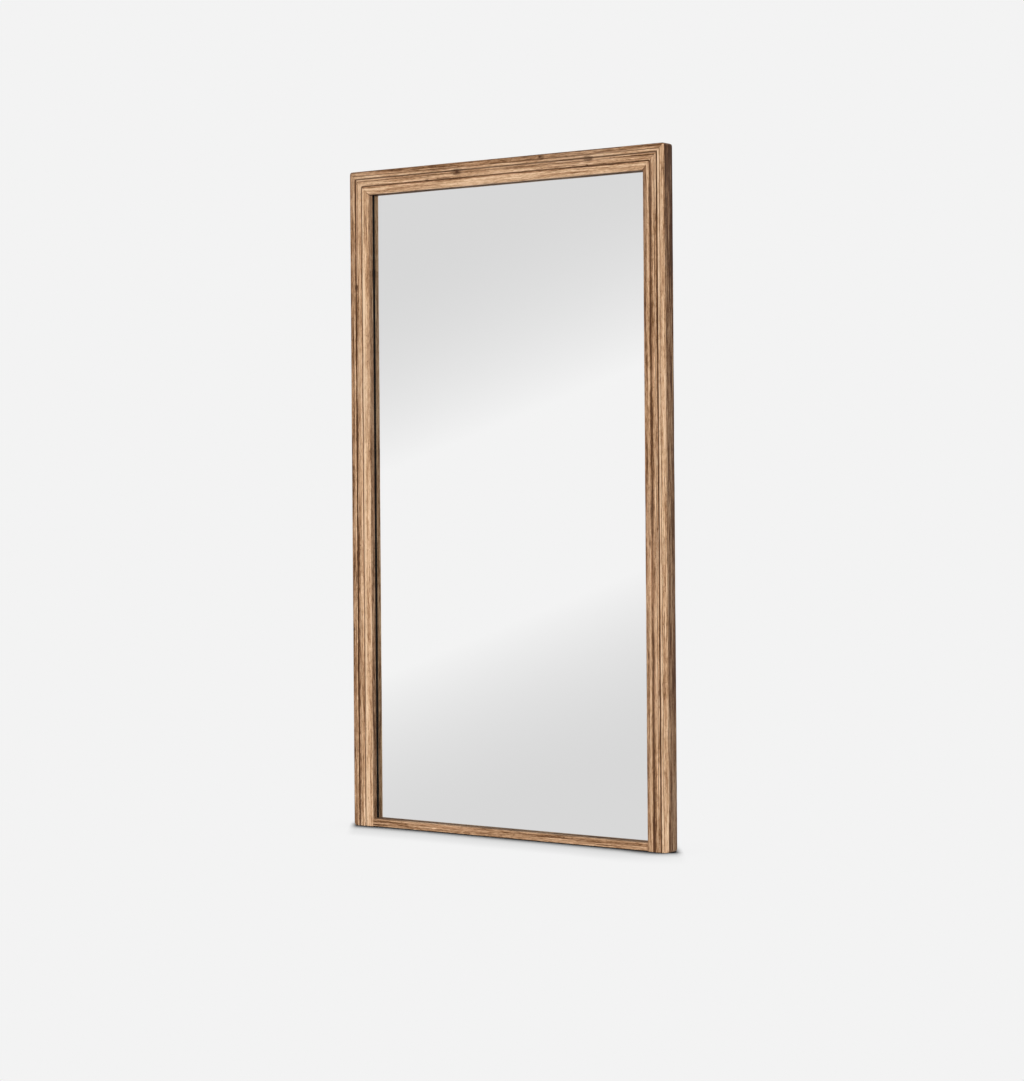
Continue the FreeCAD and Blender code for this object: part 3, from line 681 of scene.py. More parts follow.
for side, name, seed, knocks, knots, patina_and_shade in (
        (-1, "left", 2.7, LEFT_KNOCKS, LEFT_KNOTS, LEFT_PATINA_AND_SHADE),
        (1, "right", 6.1, RIGHT_KNOCKS, (), RIGHT_PATINA_AND_SHADE)):
    mesh = moulded_bar(0.0, HEIGHT, seed, knocks, patina_and_shade)
    bmesh.ops.scale(mesh, verts=mesh.verts[:], vec=(-side, 1, 1))
    bmesh.ops.translate(mesh, verts=mesh.verts[:], vec=(side * HALF_WIDTH, FRONT, 0))
    piece = "stile_" + name + "_wood"
    make_piece(mesh, piece, [weathered_wood(piece + "_finish", "Z", seed, knots)], "frame",
               [name + "_stile"])

TOP_SEED = 11.3
mesh = moulded_bar(-HALF_WIDTH, HALF_WIDTH, TOP_SEED, TOP_KNOCKS, TOP_PATINA_AND_SHADE)
across_down = Matrix(((0, 0, 1, 0), (0, 1, 0, FRONT), (-1, 0, 0, HEIGHT), (0, 0, 0, 1)))
bmesh.ops.transform(mesh, verts=mesh.verts[:], matrix=across_down)
top_wood = weathered_wood("rail_top_wood_finish", "X", TOP_SEED, TOP_KNOTS, 0.02)
make_piece(mesh, "rail_top_wood", [top_wood], "frame", ["top_rail"])

# %% [markdown]
# ## The bottom rail
# Only a narrow plain face of it shows, set back from the stiles.  Its section has a rebate
# that the glass stands in, and a tongue that runs on behind the stiles' lips.

# %% Make the bottom rail
rail_low, rail_high = box_mm("bottom_rail")
RAIL_FRONT, RAIL_BACK = rail_low.y - FRONT, rail_high.y - FRONT
TONGUE_TOP = 14.0
RAIL_RIPPLE, BUTT_SINK, BUTT_REACH = 0.12, 0.5, 2.5
rail = Pencil(rail_low.z, RAIL_BACK)
rail.line((rail_low.z, LIP_BACK), (rail_low.z, RAIL_FRONT + 1.5))
rail.quarter(rail_low.z + 1.5, RAIL_FRONT, 4)
rail.line((rail_high.z - 5, RAIL_FRONT))
rail.quarter(rail_high.z, RAIL_FRONT + 5, 8)
rail.line((rail_high.z, LIP_BACK), (TONGUE_TOP, LIP_BACK), (TONGUE_TOP, RAIL_BACK))
mesh, face = rail.close(longest=4.0)
mark_rubbed(mesh, face, RAIL_PATINA_AND_SHADE)
corners = [vert for vert in mesh.verts
           if abs(vert.co.y - LIP_BACK) < 0.01 and vert.co.x < TONGUE_TOP + 0.01]
corners.sort(key=lambda vert: vert.co.x)
bmesh.ops.connect_verts(mesh, verts=[corners[0], corners[-1]])
rail_ends = [-OPENING_HALF, OPENING_HALF]
sweep(mesh, mesh.faces[:], stations(*rail_ends, rail_ends))
for side in rail_ends:
    tongue = [part for part in mesh.faces
              if all(abs(vert.co.z - side) < 0.01 for vert in part.verts)
              and part.calc_center_median().y > LIP_BACK]
    grown = bmesh.ops.extrude_face_region(mesh, geom=tongue)
    bmesh.ops.translate(mesh, verts=only(BMVert, grown["geom"]),
                        vec=(0, 0, math.copysign(GLASS_POCKET, side)))
    bmesh.ops.delete(mesh, geom=tongue, context="FACES_ONLY")
for vert in mesh.verts:
    height, drop, along = vert.co
    if drop < LIP_BACK - 0.5:
        butt = max(0.0, 1 - (OPENING_HALF - abs(along)) / BUTT_REACH)
        ripple = noise.noise(Vector((height / 8, 4.4, along / 90)))
        vert.co.y += RAIL_RIPPLE * (1 + ripple) + BUTT_SINK * butt ** 2
up_along = Matrix(((0, 0, 1, 0), (0, 1, 0, FRONT), (1, 0, 0, 0), (0, 0, 0, 1)))
bmesh.ops.transform(mesh, verts=mesh.verts[:], matrix=up_along)
rail_wood = weathered_wood("rail_bottom_wood_finish", "X", 17.9, (), -0.32, rebate_shadow=False)
make_piece(mesh, "rail_bottom_wood", [rail_wood], "frame", ["bottom_rail"])

# %% [markdown]
# ## Glass
# The mirror is a sheet of float glass silvered on its back.  One sees almost nothing of the
# sheet itself, only what it reflects, so its face is a perfect metal with a trace of green.
# The ground edges and the painted back get finishes of their own.

# %% Finishes of the mirror sheet
SILVER = (0.84, 0.90, 0.89)
silver = Mixer("silvered_face")
silver.finish("Metallic", 1.0)
silver.finish("Roughness", 0.012)
silver.finish("Base Color", silver.mix(silver.noise(silver.place, 1.6, 1.0),
                                       (0.838, 0.899, 0.888, 1), (0.842, 0.901, 0.892, 1)))
edge_glass = Mixer("ground_edge")
grit = edge_glass.noise(edge_glass.place, 900.0, 3.0)
edge_glass.finish("Base Color", edge_glass.mix(grit, linear(96, 122, 112),
                                               linear(136, 160, 150)))
edge_glass.finish("Roughness", edge_glass.span(grit, 0.3, 0.7, 0.35, 0.6))
back_paint = Mixer("back_paint")
back_paint.finish("Base Color", back_paint.mix(back_paint.noise(back_paint.place, 60.0, 4.0),
                                               linear(92, 96, 98), linear(116, 118, 118)))
back_paint.finish("Roughness", 0.5)


# %% Make the mirror sheet
def slab(low, high):
    """A box between two corners, in millimetres."""
    mesh = bmesh.new()
    bmesh.ops.create_cube(mesh, size=1)
    bmesh.ops.scale(mesh, verts=mesh.verts[:], vec=high - low)
    bmesh.ops.translate(mesh, verts=mesh.verts[:], vec=(low + high) / 2)
    return mesh


def ease_edges(mesh, edges, size, segments=2):
    """Rounds the given edges."""
    bmesh.ops.bevel(mesh, geom=edges, offset=size, offset_type="OFFSET", affect="EDGES",
                    segments=segments, profile=0.5, material=-1)


mesh = slab(*box_mm("mirror_glass"))
ease_edges(mesh, mesh.edges[:], 0.5, 1)
mesh.normal_update()
for face in mesh.faces:
    facing = face.normal.y
    face.material_index = 0 if facing < -0.9 else 2 if facing > 0.9 else 1
make_piece(mesh, "mirror_sheet", [silver.material, edge_glass.material, back_paint.material],
           "frame", ["mirror_glass"], crease=20)

# %% [markdown]
# ## The black line round the glass
# Strips of closed-cell foam lie between the lip and the glass.  A squeezed strip bulges a
# little at its free edge, so the section's edge is rounded, and the foam's cells make its
# surface slightly rough.

# %% Foam, and the four strips
FOAM_ROUND, FOAM_WAVER = 1.0, 0.18
foam = Mixer("black_foam")
cells = foam.add("ShaderNodeTexVoronoi", {"Vector": foam.place, "Scale": 1400.0})
cells = cells.outputs["Distance"]
foam.finish("Base Color", foam.mix(cells, linear(14, 12, 10), linear(34, 30, 27)))
foam.finish("Roughness", 0.9)
foam.finish("Specular IOR Level", 0.2)
foam.bump(cells, 0.4 * MM)


def long_edges(mesh, axis):
    return [edge for edge in mesh.edges
            if abs(edge.verts[0].co[axis] - edge.verts[1].co[axis]) > 100]


for side in ("left", "right", "top", "bottom"):
    low, high = box_mm("glazing_tape_" + side)
    mesh = slab(low, high)
    long_way = 2 if side in ("left", "right") else 0
    short_way = 2 - long_way
    ease_edges(mesh, long_edges(mesh, long_way), FOAM_ROUND, 3)
    bmesh.ops.subdivide_edges(mesh, edges=long_edges(mesh, long_way), cuts=120,
                              use_grid_fill=True)
    middle = (low + high) / 2
    for vert in mesh.verts:
        waver = noise.noise(Vector((vert.co[long_way] / 70, vert.co[short_way] / 6, 8.8)))
        vert.co[short_way] -= FOAM_WAVER * (1 + waver) * math.copysign(
            1, vert.co[short_way] - middle[short_way])
    make_piece(mesh, "foam_strip_" + side, [foam.material], "frame",
               ["glazing_tape_" + side])

# %% [markdown]
# ## Steel and rubber
# The fittings on the back are pressed from zinc-plated sheet.  Plating is never quite even:
# it has cloudy spangles, and fine scratches from the press.  The rings are brighter, because
# they are tumbled, and the screws are duller.


# %% Finishes of the fittings
def plated_steel(name, dull, bright, roughness):
    """Plated steel with cloudy spangles and fine scratches."""
    steel = Mixer(name)
    spangle = steel.noise(steel.place, 110.0, 4.0, 0.62)
    scratch = steel.noise(steel.stretch(steel.place, (1, 1, 1 / 24)), 1600.0, 2.0)
    steel.finish("Metallic", 1.0)
    steel.finish("Base Color", steel.mix(spangle, linear(*dull), linear(*bright)))
    steel.finish("Roughness", steel.span(spangle, 0.3, 0.7, roughness + 0.12,
                                         roughness - 0.06))
    steel.bump(scratch, 0.06 * MM)
    return steel.material


def moulded_rubber(name, dark, pale):
    """Rubber with a dusty bloom."""
    rubber = Mixer(name)
    bloom = rubber.noise(rubber.place, 160.0, 5.0, 0.6)
    rubber.finish("Base Color", rubber.mix(bloom, linear(*dark), linear(*pale)))
    rubber.finish("Roughness", rubber.span(bloom, 0.3, 0.7, 0.62, 0.8))
    rubber.bump(bloom, 0.1 * MM)
    return rubber.material


plate_look = plated_steel("zinc_plate", (132, 136, 140), (196, 198, 196), 0.36)
ring_look = plated_steel("bright_ring", (168, 168, 164), (214, 213, 208), 0.22)
screw_look = plated_steel("dull_screw", (128, 124, 114), (182, 176, 160), 0.38)
bumper_look = moulded_rubber("clear_grey_rubber", (52, 52, 54), (92, 92, 92))

# %% [markdown]
# ## Corner plates
# An L of plate lies across the back of each mitre.  Its outline, with its round corners and
# its four screw holes, is filled in one go, thickened, and its rim is eased.

# %% Places of the fittings, in millimetres
PLATE_ARM, PLATE_WIDTH, PLATE_THICKNESS = 95.0, 20.0, 2.5
PLATE_ACROSS, PLATE_CORNER = 18.0, 5.0
PLATE_HOLES = (40.0, 82.0)
HOLE_RADIUS = 2.4
STRAP_THICKNESS, STRAP_WIDTH, STRAP_LENGTH = 1.2, 14.0, 58.0
STRAP_HOLES = (30.0, 48.0)
RING_WIRE_RADIUS, RING_BEND, RING_STRAIGHT = 1.6, 5.0, 8.0
KNUCKLE_BORE, KNUCKLE_RADIUS = 1.65, 2.85
strap_low, strap_high = box_mm("hanger_strap_left")
RING_X = -(strap_low.x + strap_high.x) / 2
RING_Z = strap_high.z - KNUCKLE_RADIUS
RING_Y = strap_high.y - KNUCKLE_RADIUS
print("ring axis at", RING_X, RING_Y, RING_Z)


# %% The corner plates
def plate_outline():
    """The L from its outer corner, arms along +x and +y, with round corners."""
    arm, width, bend = PLATE_ARM, PLATE_WIDTH, PLATE_CORNER
    pen = Pencil(bend, 0)
    for starts, centre in ((((arm - bend, 0),), (arm - bend, bend)),
                           (((arm, width - bend),), (arm - bend, width - bend)),
                           (((width, width), (width, arm - bend)), (width - bend, arm - bend)),
                           (((bend, arm),), (bend, arm - bend)),
                           (((0, bend),), (bend, bend))):
        pen.line(*starts)
        pen.swing(*centre, 90, 6)
    bmesh.ops.remove_doubles(pen.mesh, verts=pen.mesh.verts[:], dist=0.001)
    return pen.mesh


def thicken(mesh, thickness, rim):
    """Makes a flat outline solid and eases its upper rim."""
    bmesh.ops.triangle_fill(mesh, edges=mesh.edges[:], use_beauty=True)
    grown = bmesh.ops.extrude_face_region(mesh, geom=mesh.faces[:])
    bmesh.ops.translate(mesh, verts=only(BMVert, grown["geom"]), vec=(0, 0, thickness))
    bmesh.ops.recalc_face_normals(mesh, faces=mesh.faces[:])
    corners = [edge for edge in mesh.edges if edge.calc_face_angle(0) > 1
               and all(vert.co.z > thickness - 0.01 for vert in edge.verts)]
    ease_edges(mesh, corners, rim, 2)


for side, name in ((-1, "left"), (1, "right")):
    mesh = plate_outline()
    middle = PLATE_WIDTH / 2
    for along in PLATE_HOLES:
        for spot in ((along, middle, 0), (middle, along, 0)):
            bmesh.ops.create_circle(mesh, segments=20, radius=HOLE_RADIUS,
                                    matrix=Matrix.Translation(spot))
    thicken(mesh, PLATE_THICKNESS, 0.5)
    corner = Matrix(((-side, 0, 0, side * (HALF_WIDTH - PLATE_ACROSS)), (0, 0, 1, BACK),
                     (0, -1, 0, HEIGHT - PLATE_ACROSS), (0, 0, 0, 1)))
    bmesh.ops.transform(mesh, verts=mesh.verts[:], matrix=corner)
    make_piece(mesh, "corner_angle_" + name, [plate_look], "frame",
               ["corner_plate_" + name], crease=25)

# %% [markdown]
# ## Hanger straps and their rings
# A strap is one strip, rolled over a wire at its top.  Its section is drawn from the side:
# up the back of the frame, round the wire and down again on the outside.

# %% The rolled straps
ROLL_STARTS, ROLL_DEGREES = -6.0, 236
for side, name in ((-1, "left"), (1, "right")):
    axis = RING_Y - BACK
    pen = Pencil(-STRAP_LENGTH, 0)
    pen.line((ROLL_STARTS, 0), (0, axis - KNUCKLE_RADIUS))
    pen.swing(0, axis, ROLL_DEGREES, 26)
    centre = Vector((0, axis, 0))
    inner_end = centre + (pen.tip.co - centre) * (KNUCKLE_BORE / KNUCKLE_RADIUS)
    pen.line(inner_end[:2])
    pen.swing(0, axis, -ROLL_DEGREES, 22)
    pen.line((ROLL_STARTS, STRAP_THICKNESS), (-STRAP_LENGTH, STRAP_THICKNESS))
    mesh, face = pen.close(longest=3.0)
    sweep(mesh, [face], [STRAP_WIDTH * step / 28 for step in range(29)])
    foot_radius = STRAP_WIDTH * 0.45
    for vert in mesh.verts:
        reach, _, level = vert.co
        if reach < ROLL_STARTS:
            inwards = max(0.0, foot_radius - min(level, STRAP_WIDTH - level))
            bite = foot_radius - math.sqrt(foot_radius ** 2 - inwards ** 2)
            vert.co.x = ROLL_STARTS + (reach - ROLL_STARTS) * (
                1 - bite / (STRAP_LENGTH + ROLL_STARTS))
    place = Matrix(((0, 0, 1, side * RING_X - STRAP_WIDTH / 2), (0, 1, 0, BACK),
                    (1, 0, 0, RING_Z), (0, 0, 0, 1)))
    bmesh.ops.transform(mesh, verts=mesh.verts[:], matrix=place)
    make_piece(mesh, "rolled_strap_" + name, [plate_look], "frame",
               ["hanger_strap_" + name], crease=35)


# %% The D rings, bent from one wire
def run_straight(mesh, front, length):
    """Draws the wire's front ring out along X, and gives the new front."""
    grown = bmesh.ops.extrude_edge_only(mesh, edges=only(BMEdge, front))["geom"]
    moved = only(BMVert, grown)
    bmesh.ops.translate(mesh, verts=moved, vec=(length, 0, 0))
    return moved + [edge for edge in only(BMEdge, grown)
                    if all(vert in moved for vert in edge.verts)]


def run_round(mesh, front, x, z, degrees, steps):
    """Bends the wire on about a centre, and gives the new front."""
    spun = bmesh.ops.spin(mesh, geom=front, cent=(x, 0, z), axis=(0, 1, 0),
                          angle=math.radians(degrees), steps=steps)
    return spun["geom_last"]


for side, name in ((-1, "left"), (1, "right")):
    mesh = bmesh.new()
    bmesh.ops.create_circle(mesh, segments=20, radius=RING_WIRE_RADIUS,
                            matrix=Matrix.Rotation(math.radians(90), 4, "Y"))
    front = run_straight(mesh, mesh.verts[:] + mesh.edges[:], RING_STRAIGHT)
    for x, degrees, steps in ((RING_STRAIGHT, 90, 12), (0, 180, 48), (-RING_STRAIGHT, 90, 12)):
        front = run_round(mesh, front, x, -RING_BEND, degrees, steps)
    run_straight(mesh, front, RING_STRAIGHT)
    bmesh.ops.remove_doubles(mesh, verts=mesh.verts[:], dist=0.01)
    bmesh.ops.translate(mesh, verts=mesh.verts[:], vec=(side * RING_X, RING_Y, RING_Z))
    make_piece(mesh, "d_ring_" + name, [ring_look], "ring_" + name,
               ["hanger_ring_" + name])

# %% [markdown]
# ## Screws
# One pan-head screw is drawn: its top is filled round a cross, the cross is pushed in and
# closed, and the rim is drawn down ring by ring to the shank and its point.  It is then set
# in every place, each with its cross turned another way, as a hand would leave them.

# %% Draw a screw, and set the screws
HEAD_RADIUS, TOP_SHARE = 4.0, 0.58
SLOT_ARM, SLOT_REACH = 0.5, 1.8
HEAD_PROFILE = ((0.78, 0.06), (0.92, 0.2), (0.985, 0.42), (1.0, 0.7), (0.985, 1.0))
POINT_LENGTH = 5.0


def level_ring(mesh, edges, radius_from, radius_to, down):
    """Draws a ring of edges out or in and down, and gives the new ring."""
    grown = bmesh.ops.extrude_edge_only(mesh, edges=edges)["geom"]
    moved = only(BMVert, grown)
    share = radius_to / radius_from
    bmesh.ops.scale(mesh, verts=moved, vec=(share, share, 1))
    bmesh.ops.translate(mesh, verts=moved, vec=(0, 0, -down))
    return [edge for edge in only(BMEdge, grown) if all(vert in moved for vert in edge.verts)]


def draw_screw(head_height, shank_radius, length):
    """A screw whose head stands on z = 0, as mesh data in millimetres."""
    mesh = bmesh.new()
    radius = HEAD_RADIUS * TOP_SHARE
    bmesh.ops.create_circle(mesh, segments=24, radius=radius)
    rim = mesh.edges[:]
    arm, reach = SLOT_ARM, SLOT_REACH
    cross = [mesh.verts.new((x, y, 0)) for x, y in (
        (arm, reach), (arm, arm), (reach, arm), (reach, -arm), (arm, -arm), (arm, -reach),
        (-arm, -reach), (-arm, -arm), (-reach, -arm), (-reach, arm), (-arm, arm),
        (-arm, reach))]
    slot_rim = [mesh.edges.new((a, b)) for a, b in zip(cross, cross[1:] + cross[:1])]
    bmesh.ops.triangle_fill(mesh, edges=rim + slot_rim, use_beauty=True)
    floor_rim = level_ring(mesh, slot_rim, 1.0, 0.6, head_height * 0.6)
    bmesh.ops.contextual_create(mesh, geom=floor_rim)
    for share, fallen in HEAD_PROFILE:
        down = fallen * head_height + min(vert.co.z for edge in rim for vert in edge.verts)
        rim = level_ring(mesh, rim, radius, HEAD_RADIUS * share, down)
        radius = HEAD_RADIUS * share
    for next_radius, down in ((shank_radius, 0.0), (shank_radius, length - POINT_LENGTH),
                              (0.2, POINT_LENGTH)):
        rim = level_ring(mesh, rim, radius, next_radius, down)
        radius = next_radius
    bmesh.ops.contextual_create(mesh, geom=rim)
    bmesh.ops.translate(mesh, verts=mesh.verts[:], vec=(0, 0, head_height))
    data = bpy.data.meshes.new("one_screw")
    mesh.to_mesh(data)
    mesh.free()
    return data


def set_screws(name, screw, places, seat, stands_for):
    """Puts a screw at each (x, z), with its head standing on the seat."""
    mesh = bmesh.new()
    for count, (x, z) in enumerate(places):
        before = len(mesh.verts)
        mesh.from_mesh(screw)
        mesh.verts.ensure_lookup_table()
        turned = (Matrix.Translation((x, seat, z)) @ Matrix.Rotation(math.radians(-90), 4, "X")
                  @ Matrix.Rotation(count * 1.9, 4, "Z"))
        bmesh.ops.transform(mesh, verts=mesh.verts[before:], matrix=turned)
    bpy.data.meshes.remove(screw)
    make_piece(mesh, name, [screw_look], "frame", [stands_for], crease=30)


def evenly(first, last, count):
    return [first + (last - first) * step / (count - 1) for step in range(count)]


# %% Where the screws go
SCREW_LINE, SCREW_MARGIN = 63.0, 60.0
board_low, board_high = box_mm("backing_board")
up_the_side = evenly(rail_high.z + SCREW_MARGIN, HEIGHT - FACE - SCREW_MARGIN, 7)
along_the_end = evenly(SCREW_MARGIN - OPENING_HALF, OPENING_HALF - SCREW_MARGIN, 4)
board_places = [(side * (HALF_WIDTH - SCREW_LINE), z) for side in (-1, 1) for z in up_the_side]
board_places += [(x, z) for z in (HEIGHT - SCREW_LINE, (board_low.z + TONGUE_TOP) / 2)
                 for x in along_the_end]
plate_places, strap_places = [], []
for side in (-1, 1):
    line = PLATE_ACROSS + PLATE_WIDTH / 2
    for along in PLATE_HOLES:
        plate_places += [(side * (HALF_WIDTH - line), HEIGHT - PLATE_ACROSS - along),
                         (side * (HALF_WIDTH - PLATE_ACROSS - along), HEIGHT - line)]
    strap_places += [(side * RING_X, RING_Z - below) for below in STRAP_HOLES]
set_screws("panel_screws", draw_screw(2.2, 1.75, 24.0), board_places, board_high.y,
           "backing_screws")
set_screws("plate_screws", draw_screw(2.4, 2.0, 24.5), plate_places, BACK + PLATE_THICKNESS,
           "corner_plate_screws")
set_screws("strap_screws", draw_screw(2.4, 2.0, 23.2), strap_places, BACK + STRAP_THICKNESS,
           "hanger_screws")

# %% [markdown]
# ## Wall bumpers
# Each bumper is turned: half of its section is drawn from the middle outwards and spun once
# round.  Its face is slightly dished, as moulded feet are, so that only its rim touches.

# %% Turn the bumpers
for side in ("left", "right"):
    low, high = box_mm("wall_bumper_" + side)
    tall, wide = high.y - low.y, (high.x - low.x) / 2
    pen = Pencil(0.0, 0.0)
    pen.line((wide, 0), (wide - 0.08 * tall, 0.4 * tall), (wide - 1.25, tall - 1.4))
    pen.arc(wide - 2.9, tall, 0.45, 6)
    pen.line((wide - 4.2, tall - 0.12), (0.0, tall - 0.9))
    mesh = pen.mesh
    bmesh.ops.spin(mesh, geom=mesh.verts[:] + mesh.edges[:], cent=(0, 0, 0), axis=(0, 1, 0),
                   angle=math.radians(360), steps=48)
    centre = (low + high) / 2
    bmesh.ops.translate(mesh, verts=mesh.verts[:], vec=(centre.x, low.y, centre.z))
    make_piece(mesh, "bumper_foot_" + side, [bumper_look], "frame",
               ["wall_bumper_" + side], crease=40)

# %% [markdown]
# ## Pieces that keep their CAD shape
# The panel, the biscuits, the dowels and the setting blocks are right as they are.  They get
# a finish in their own slots: plywood with its plies, pressed beech and hard rubber.

# %% Plywood, beech and block rubber
PLY_THICKNESS = 1.5


def plywood(name):
    """A pale veneer with grain along Z; the edges show the plies."""
    ply = Mixer(name)
    figure = ply.noise(ply.stretch(ply.place, (1, 1, 1 / 14)), 26.0, 5.0, 0.6, 1.2)
    pores = ply.noise(ply.stretch(ply.place, (1, 1, 1 / 30)), 520.0, 3.0)
    tone = ply.plus(ply.times(figure, 0.8), ply.times(pores, 0.3))
    veneer = ply.ramp(tone, ((0.35, linear(176, 138, 96)), (0.55, linear(203, 170, 128)),
                             (0.75, linear(219, 190, 150))))
    drop = ply.parts(ply.place)[1]
    plies = ply.math("SINE", ply.times(drop, math.pi / (PLY_THICKNESS * MM)))
    layer = ply.mix(ply.span(plies, -0.3, 0.3), linear(150, 112, 76), linear(206, 174, 132))
    facing = ply.parts(ply.add("ShaderNodeNewGeometry").outputs["Normal"])[1]
    is_face = ply.math("GREATER_THAN", ply.size(facing), 0.5)
    ply.finish("Base Color", ply.mix(is_face, layer, veneer))
    ply.finish("Roughness", 0.68)
    ply.bump(pores, 0.2 * MM)
    return ply.material


def beech(name):
    """Pale beech with short dark flecks."""
    wood = Mixer(name)
    fleck = wood.noise(wood.stretch(wood.place, (1 / 6, 1, 1)), 700.0, 3.0)
    wood.finish("Base Color", wood.ramp(fleck, (
        (0.38, linear(168, 122, 82)), (0.5, linear(206, 166, 122)), (0.7, linear(220, 184, 142)))))
    wood.finish("Roughness", 0.6)
    wood.bump(fleck, 0.2 * MM)
    return wood.material


beech_look = beech("pressed_beech")
block_look = moulded_rubber("block_rubber", (30, 30, 31), (58, 58, 58))
kept = {"backing_board": plywood("panel_plywood"), "setting_blocks": block_look}
for side in ("left", "right"):
    kept["mitre_biscuits_" + side] = beech_look
    kept["rail_dowels_" + side] = beech_look
for node, finish in kept.items():
    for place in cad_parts[node].material_slots:
        place.material = finish
    print(node, "keeps its CAD shape and is finished in", finish.name)

# %% [markdown]
# ## The floor
# It is a pale studio floor that turns into the background without a line.  Its shade is
# painted: it is darkened only where the mirror keeps the light of the room off it, softly all
# round and deeply where the wood touches it, and this painted shade fades out past the feet
# along a slanted line, as a light from the right would leave it.

# %% The floor
BACKDROP = linear(243, 243, 243)
STUDIO_REACH, STUDIO_SHADE = 0.25, (
    (0.50, 0.10), (0.56, 0.40), (0.626, 0.66), (0.69, 0.77), (0.75, 0.815), (0.86, 0.875),
    (0.95, 0.935), (1.0, 1.0))
CONTACT_REACH, CONTACT_SHADE = 0.10, (
    (0.50, 0.06), (0.66, 0.08), (0.77, 0.40), (0.887, 0.80), (0.975, 0.97), (1.0, 1.0))
SHADE_END_AXIS, SHADE_ENDS = (0.81, 0.585, 0), (0.500, 0.524)
SHADE_HALF_LENGTH, SHADE_HALF_DEPTH = 0.95, 0.4
floor_mesh = bmesh.new()
bmesh.ops.create_grid(floor_mesh, x_segments=1, y_segments=1, size=60.0)
floor_data = bpy.data.meshes.new("studio_floor")
floor_mesh.to_mesh(floor_data)
floor_mesh.free()
floor = bpy.data.objects.new("studio_floor", floor_data)
scene.collection.objects.link(floor)
look = Mixer("studio_floor_look")


def kept_dark(reach, stops):
    """The floor's shade by how much of the sky over it is open, within a reach."""
    node = look.add("ShaderNodeAmbientOcclusion", {"Distance": reach}, samples=16)
    return look.ramp(node.outputs["AO"], [(place, (grey, grey, grey, 1))
                                          for place, grey in stops])


shade = look.mix(1.0, kept_dark(STUDIO_REACH, STUDIO_SHADE),
                 kept_dark(CONTACT_REACH, CONTACT_SHADE), "MULTIPLY")
end = look.size(look.vector("DOT_PRODUCT", look.place, SHADE_END_AXIS, "Value"))
shade = look.mix(look.span(end, *SHADE_ENDS, 0.0, 0.95), shade, (1, 1, 1, 1))
shaded = look.add("ShaderNodeEmission", {"Color": look.mix(1.0, shade, BACKDROP, "MULTIPLY")})
plain = look.add("ShaderNodeEmission", {"Color": BACKDROP})
flattened = look.stretch(look.place, (1 / SHADE_HALF_LENGTH, 1 / SHADE_HALF_DEPTH, 0))
near_object = look.math("LESS_THAN", look.vector("LENGTH", flattened, output="Value"), 1.0)
seen = look.add("ShaderNodeMixShader", {0: near_object, 1: plain.outputs[0],
                                        2: shaded.outputs[0]})
matt = look.add("ShaderNodeBsdfDiffuse", {"Color": (0.50, 0.45, 0.40, 1)})
rays = look.add("ShaderNodeLightPath").outputs
looked_at = look.math("MAXIMUM", rays["Is Camera Ray"], rays["Is Transmission Ray"])
lit = look.add("ShaderNodeMixShader", {0: looked_at, 1: matt.outputs[0], 2: seen.outputs[0]})
clear = look.add("ShaderNodeBsdfTransparent")
surface = look.add("ShaderNodeMixShader", {0: rays["Is Glossy Ray"], 1: lit.outputs[0],
                                           2: clear.outputs[0]})
look.feed(look.tree.nodes["Material Output"], "Surface", surface.outputs[0])
floor_data.materials.append(look.material)
floor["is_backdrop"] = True
print("floor laid")

# %% [markdown]
# ## The room, and what the mirror reflects
# A mirror this large shows the studio behind the camera.  Two soft grey cards stand there,
# a high one and a low one, with a bright slanted opening between them.  They are painted on
# the world by direction, and only rays that bounce off something glossy see them.

# %% The room's light and the two grey cards
AMBIENT, AMBIENT_COLOUR = 0.10, (1.0, 0.88, 0.75, 1.0)
WHITE = (1, 1, 1, 1)
CARD_DISTANCE, CARD_GREY = 6.65, 0.766
CARD_CENTRE = (4.83, 1.118)
UPPER_CARD = (1.306, 0.319, 0.70)
LOWER_CARD = (0.668, 0.359, 0.61)
world = bpy.data.worlds.new("studio")
scene.world = world
world.use_nodes = True
sky = Recipe(world.node_tree)
split = sky.parts(sky.add("ShaderNodeTexCoord").outputs["Generated"])
towards = sky.math("MAXIMUM", sky.times(split[1], -1.0), 0.02)
card_x, card_z = [
    sky.plus(sky.times(sky.math("DIVIDE", split[axis], towards), CARD_DISTANCE), start)
    for axis, start in ((0, CARD_CENTRE[0]), (2, CARD_CENTRE[1]))]


def card_depth(edge, slope, fade, sign):
    """How far a direction lies inside a card, 0 at its edge and 1 where it is full grey."""
    inside = sky.less(card_z, sky.plus(sky.times(card_x, slope), edge))
    return sky.math("DIVIDE", sky.times(inside, sign), fade, clamp=True)


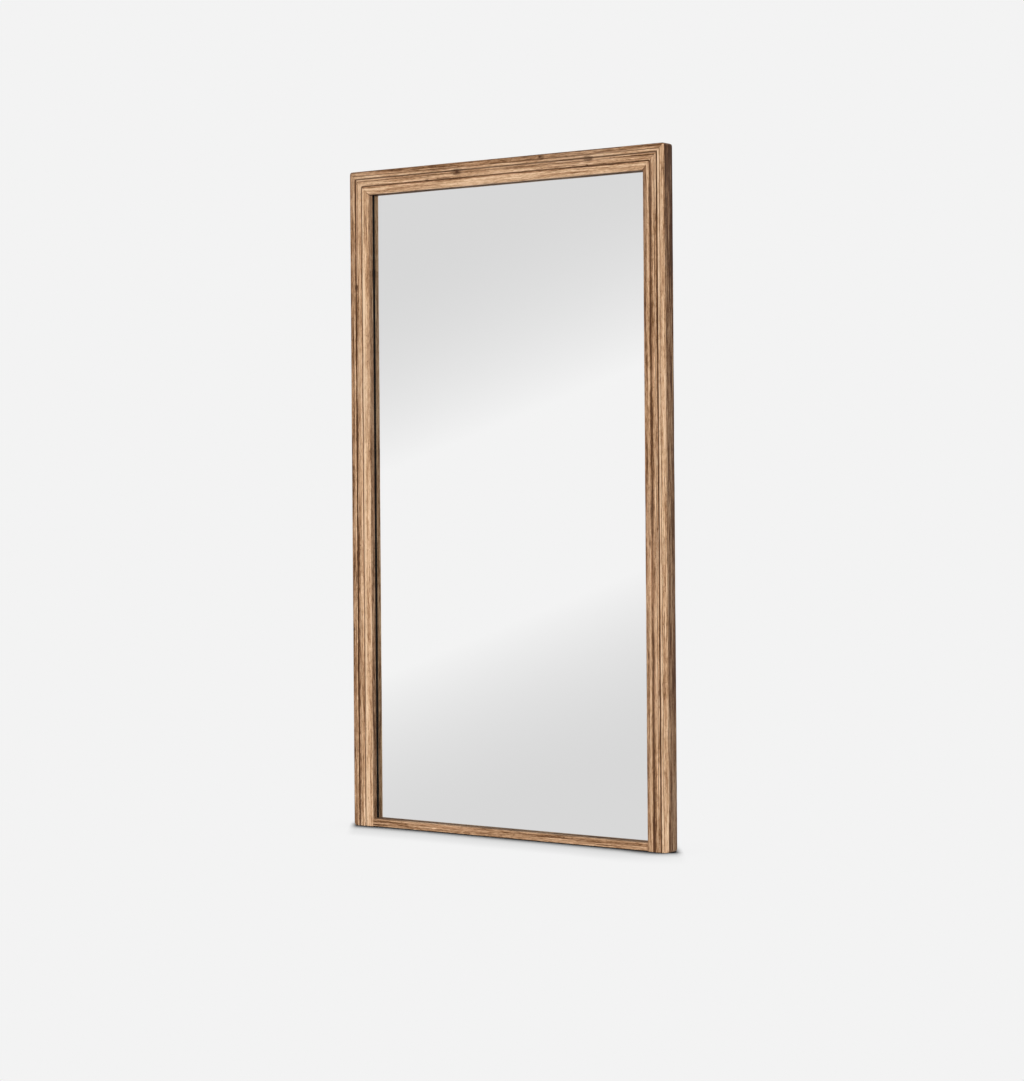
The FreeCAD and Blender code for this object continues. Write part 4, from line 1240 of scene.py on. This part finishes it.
inside = sky.plus(card_depth(*UPPER_CARD, 1.0), card_depth(*LOWER_CARD, -1.0))
outside = sky.less(1.0, inside, clamp=True)
depth = sky.less(1.0, sky.times(outside, outside))
dimming = sky.less(1.0, sky.times(depth, 1 - CARD_GREY))
rays = sky.add("ShaderNodeLightPath").outputs
glossy = rays["Is Glossy Ray"]
shown = sky.math("MAXIMUM", rays["Is Camera Ray"],
                 sky.math("MAXIMUM", glossy, rays["Is Transmission Ray"]))
seen_light = sky.times(sky.choose(glossy, 1.0, dimming), BACKDROP[0])
silver_white = [1 / part for part in SILVER] + [1]
background = world.node_tree.nodes["Background"]
sky.feed(background, "Color", sky.mix(shown, AMBIENT_COLOUR,
                                      sky.mix(glossy, WHITE, silver_white)))
sky.feed(background, "Strength", sky.choose(shown, AMBIENT, seen_light))
print("cards set")

# %% [markdown]
# ## The lights
# A soft key light comes from the front and a little from the right, so that the side stays
# in half shade.  A second one, from behind and the left, keeps the back readable.

# %% Hang the lights: name, strength, azimuth, height and width in degrees
for name, strength, azimuth, height, width in (("key_light", 3.07, 20.0, 14.0, 24),
                                               ("light_behind", 2.4, 215.0, 22.0, 40)):
    lamp = bpy.data.lights.new(name, "SUN")
    lamp.energy = strength
    lamp.angle = math.radians(width)
    light = bpy.data.objects.new(name, lamp)
    light.rotation_euler = (math.radians(90 - height), 0, math.radians(azimuth))
    light.visible_glossy = False
    scene.collection.objects.link(light)
print("two soft lights hung")

# %% [markdown]
# ## The camera
# The picture was taken from the right with a long lens, at a little over half the mirror's
# height.  The verticals stay parallel because the camera is level and its frame is shifted.

# %% Place the camera
IMAGE_HEIGHT = 1081
FOCAL_PIXELS = 2614.8
MOVED_LEFT = 0.5
HORIZON_ABOVE_CENTRE = 540.5 - 481.8
camera_data = bpy.data.cameras.new("camera")
camera_data.sensor_fit = "VERTICAL"
camera_data.sensor_height = 36
camera_data.lens = FOCAL_PIXELS * camera_data.sensor_height / IMAGE_HEIGHT
camera_data.shift_x = -MOVED_LEFT / IMAGE_HEIGHT
camera_data.shift_y = -HORIZON_ABOVE_CENTRE / IMAGE_HEIGHT
camera_data.clip_end = 200
camera = bpy.data.objects.new("camera", camera_data)
camera.location = (4.8291, -6.6546, 1.1179)
camera.rotation_euler = (math.radians(90), math.radians(0.424), math.radians(35.848))
scene.collection.objects.link(camera)
scene.camera = camera
scene.view_settings.view_transform = "Standard"
print("camera lens", round(camera_data.lens, 2))

# %% Write the sizes, and finish
low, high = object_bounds()
print("visual box from", tuple(low), "to", tuple(high))
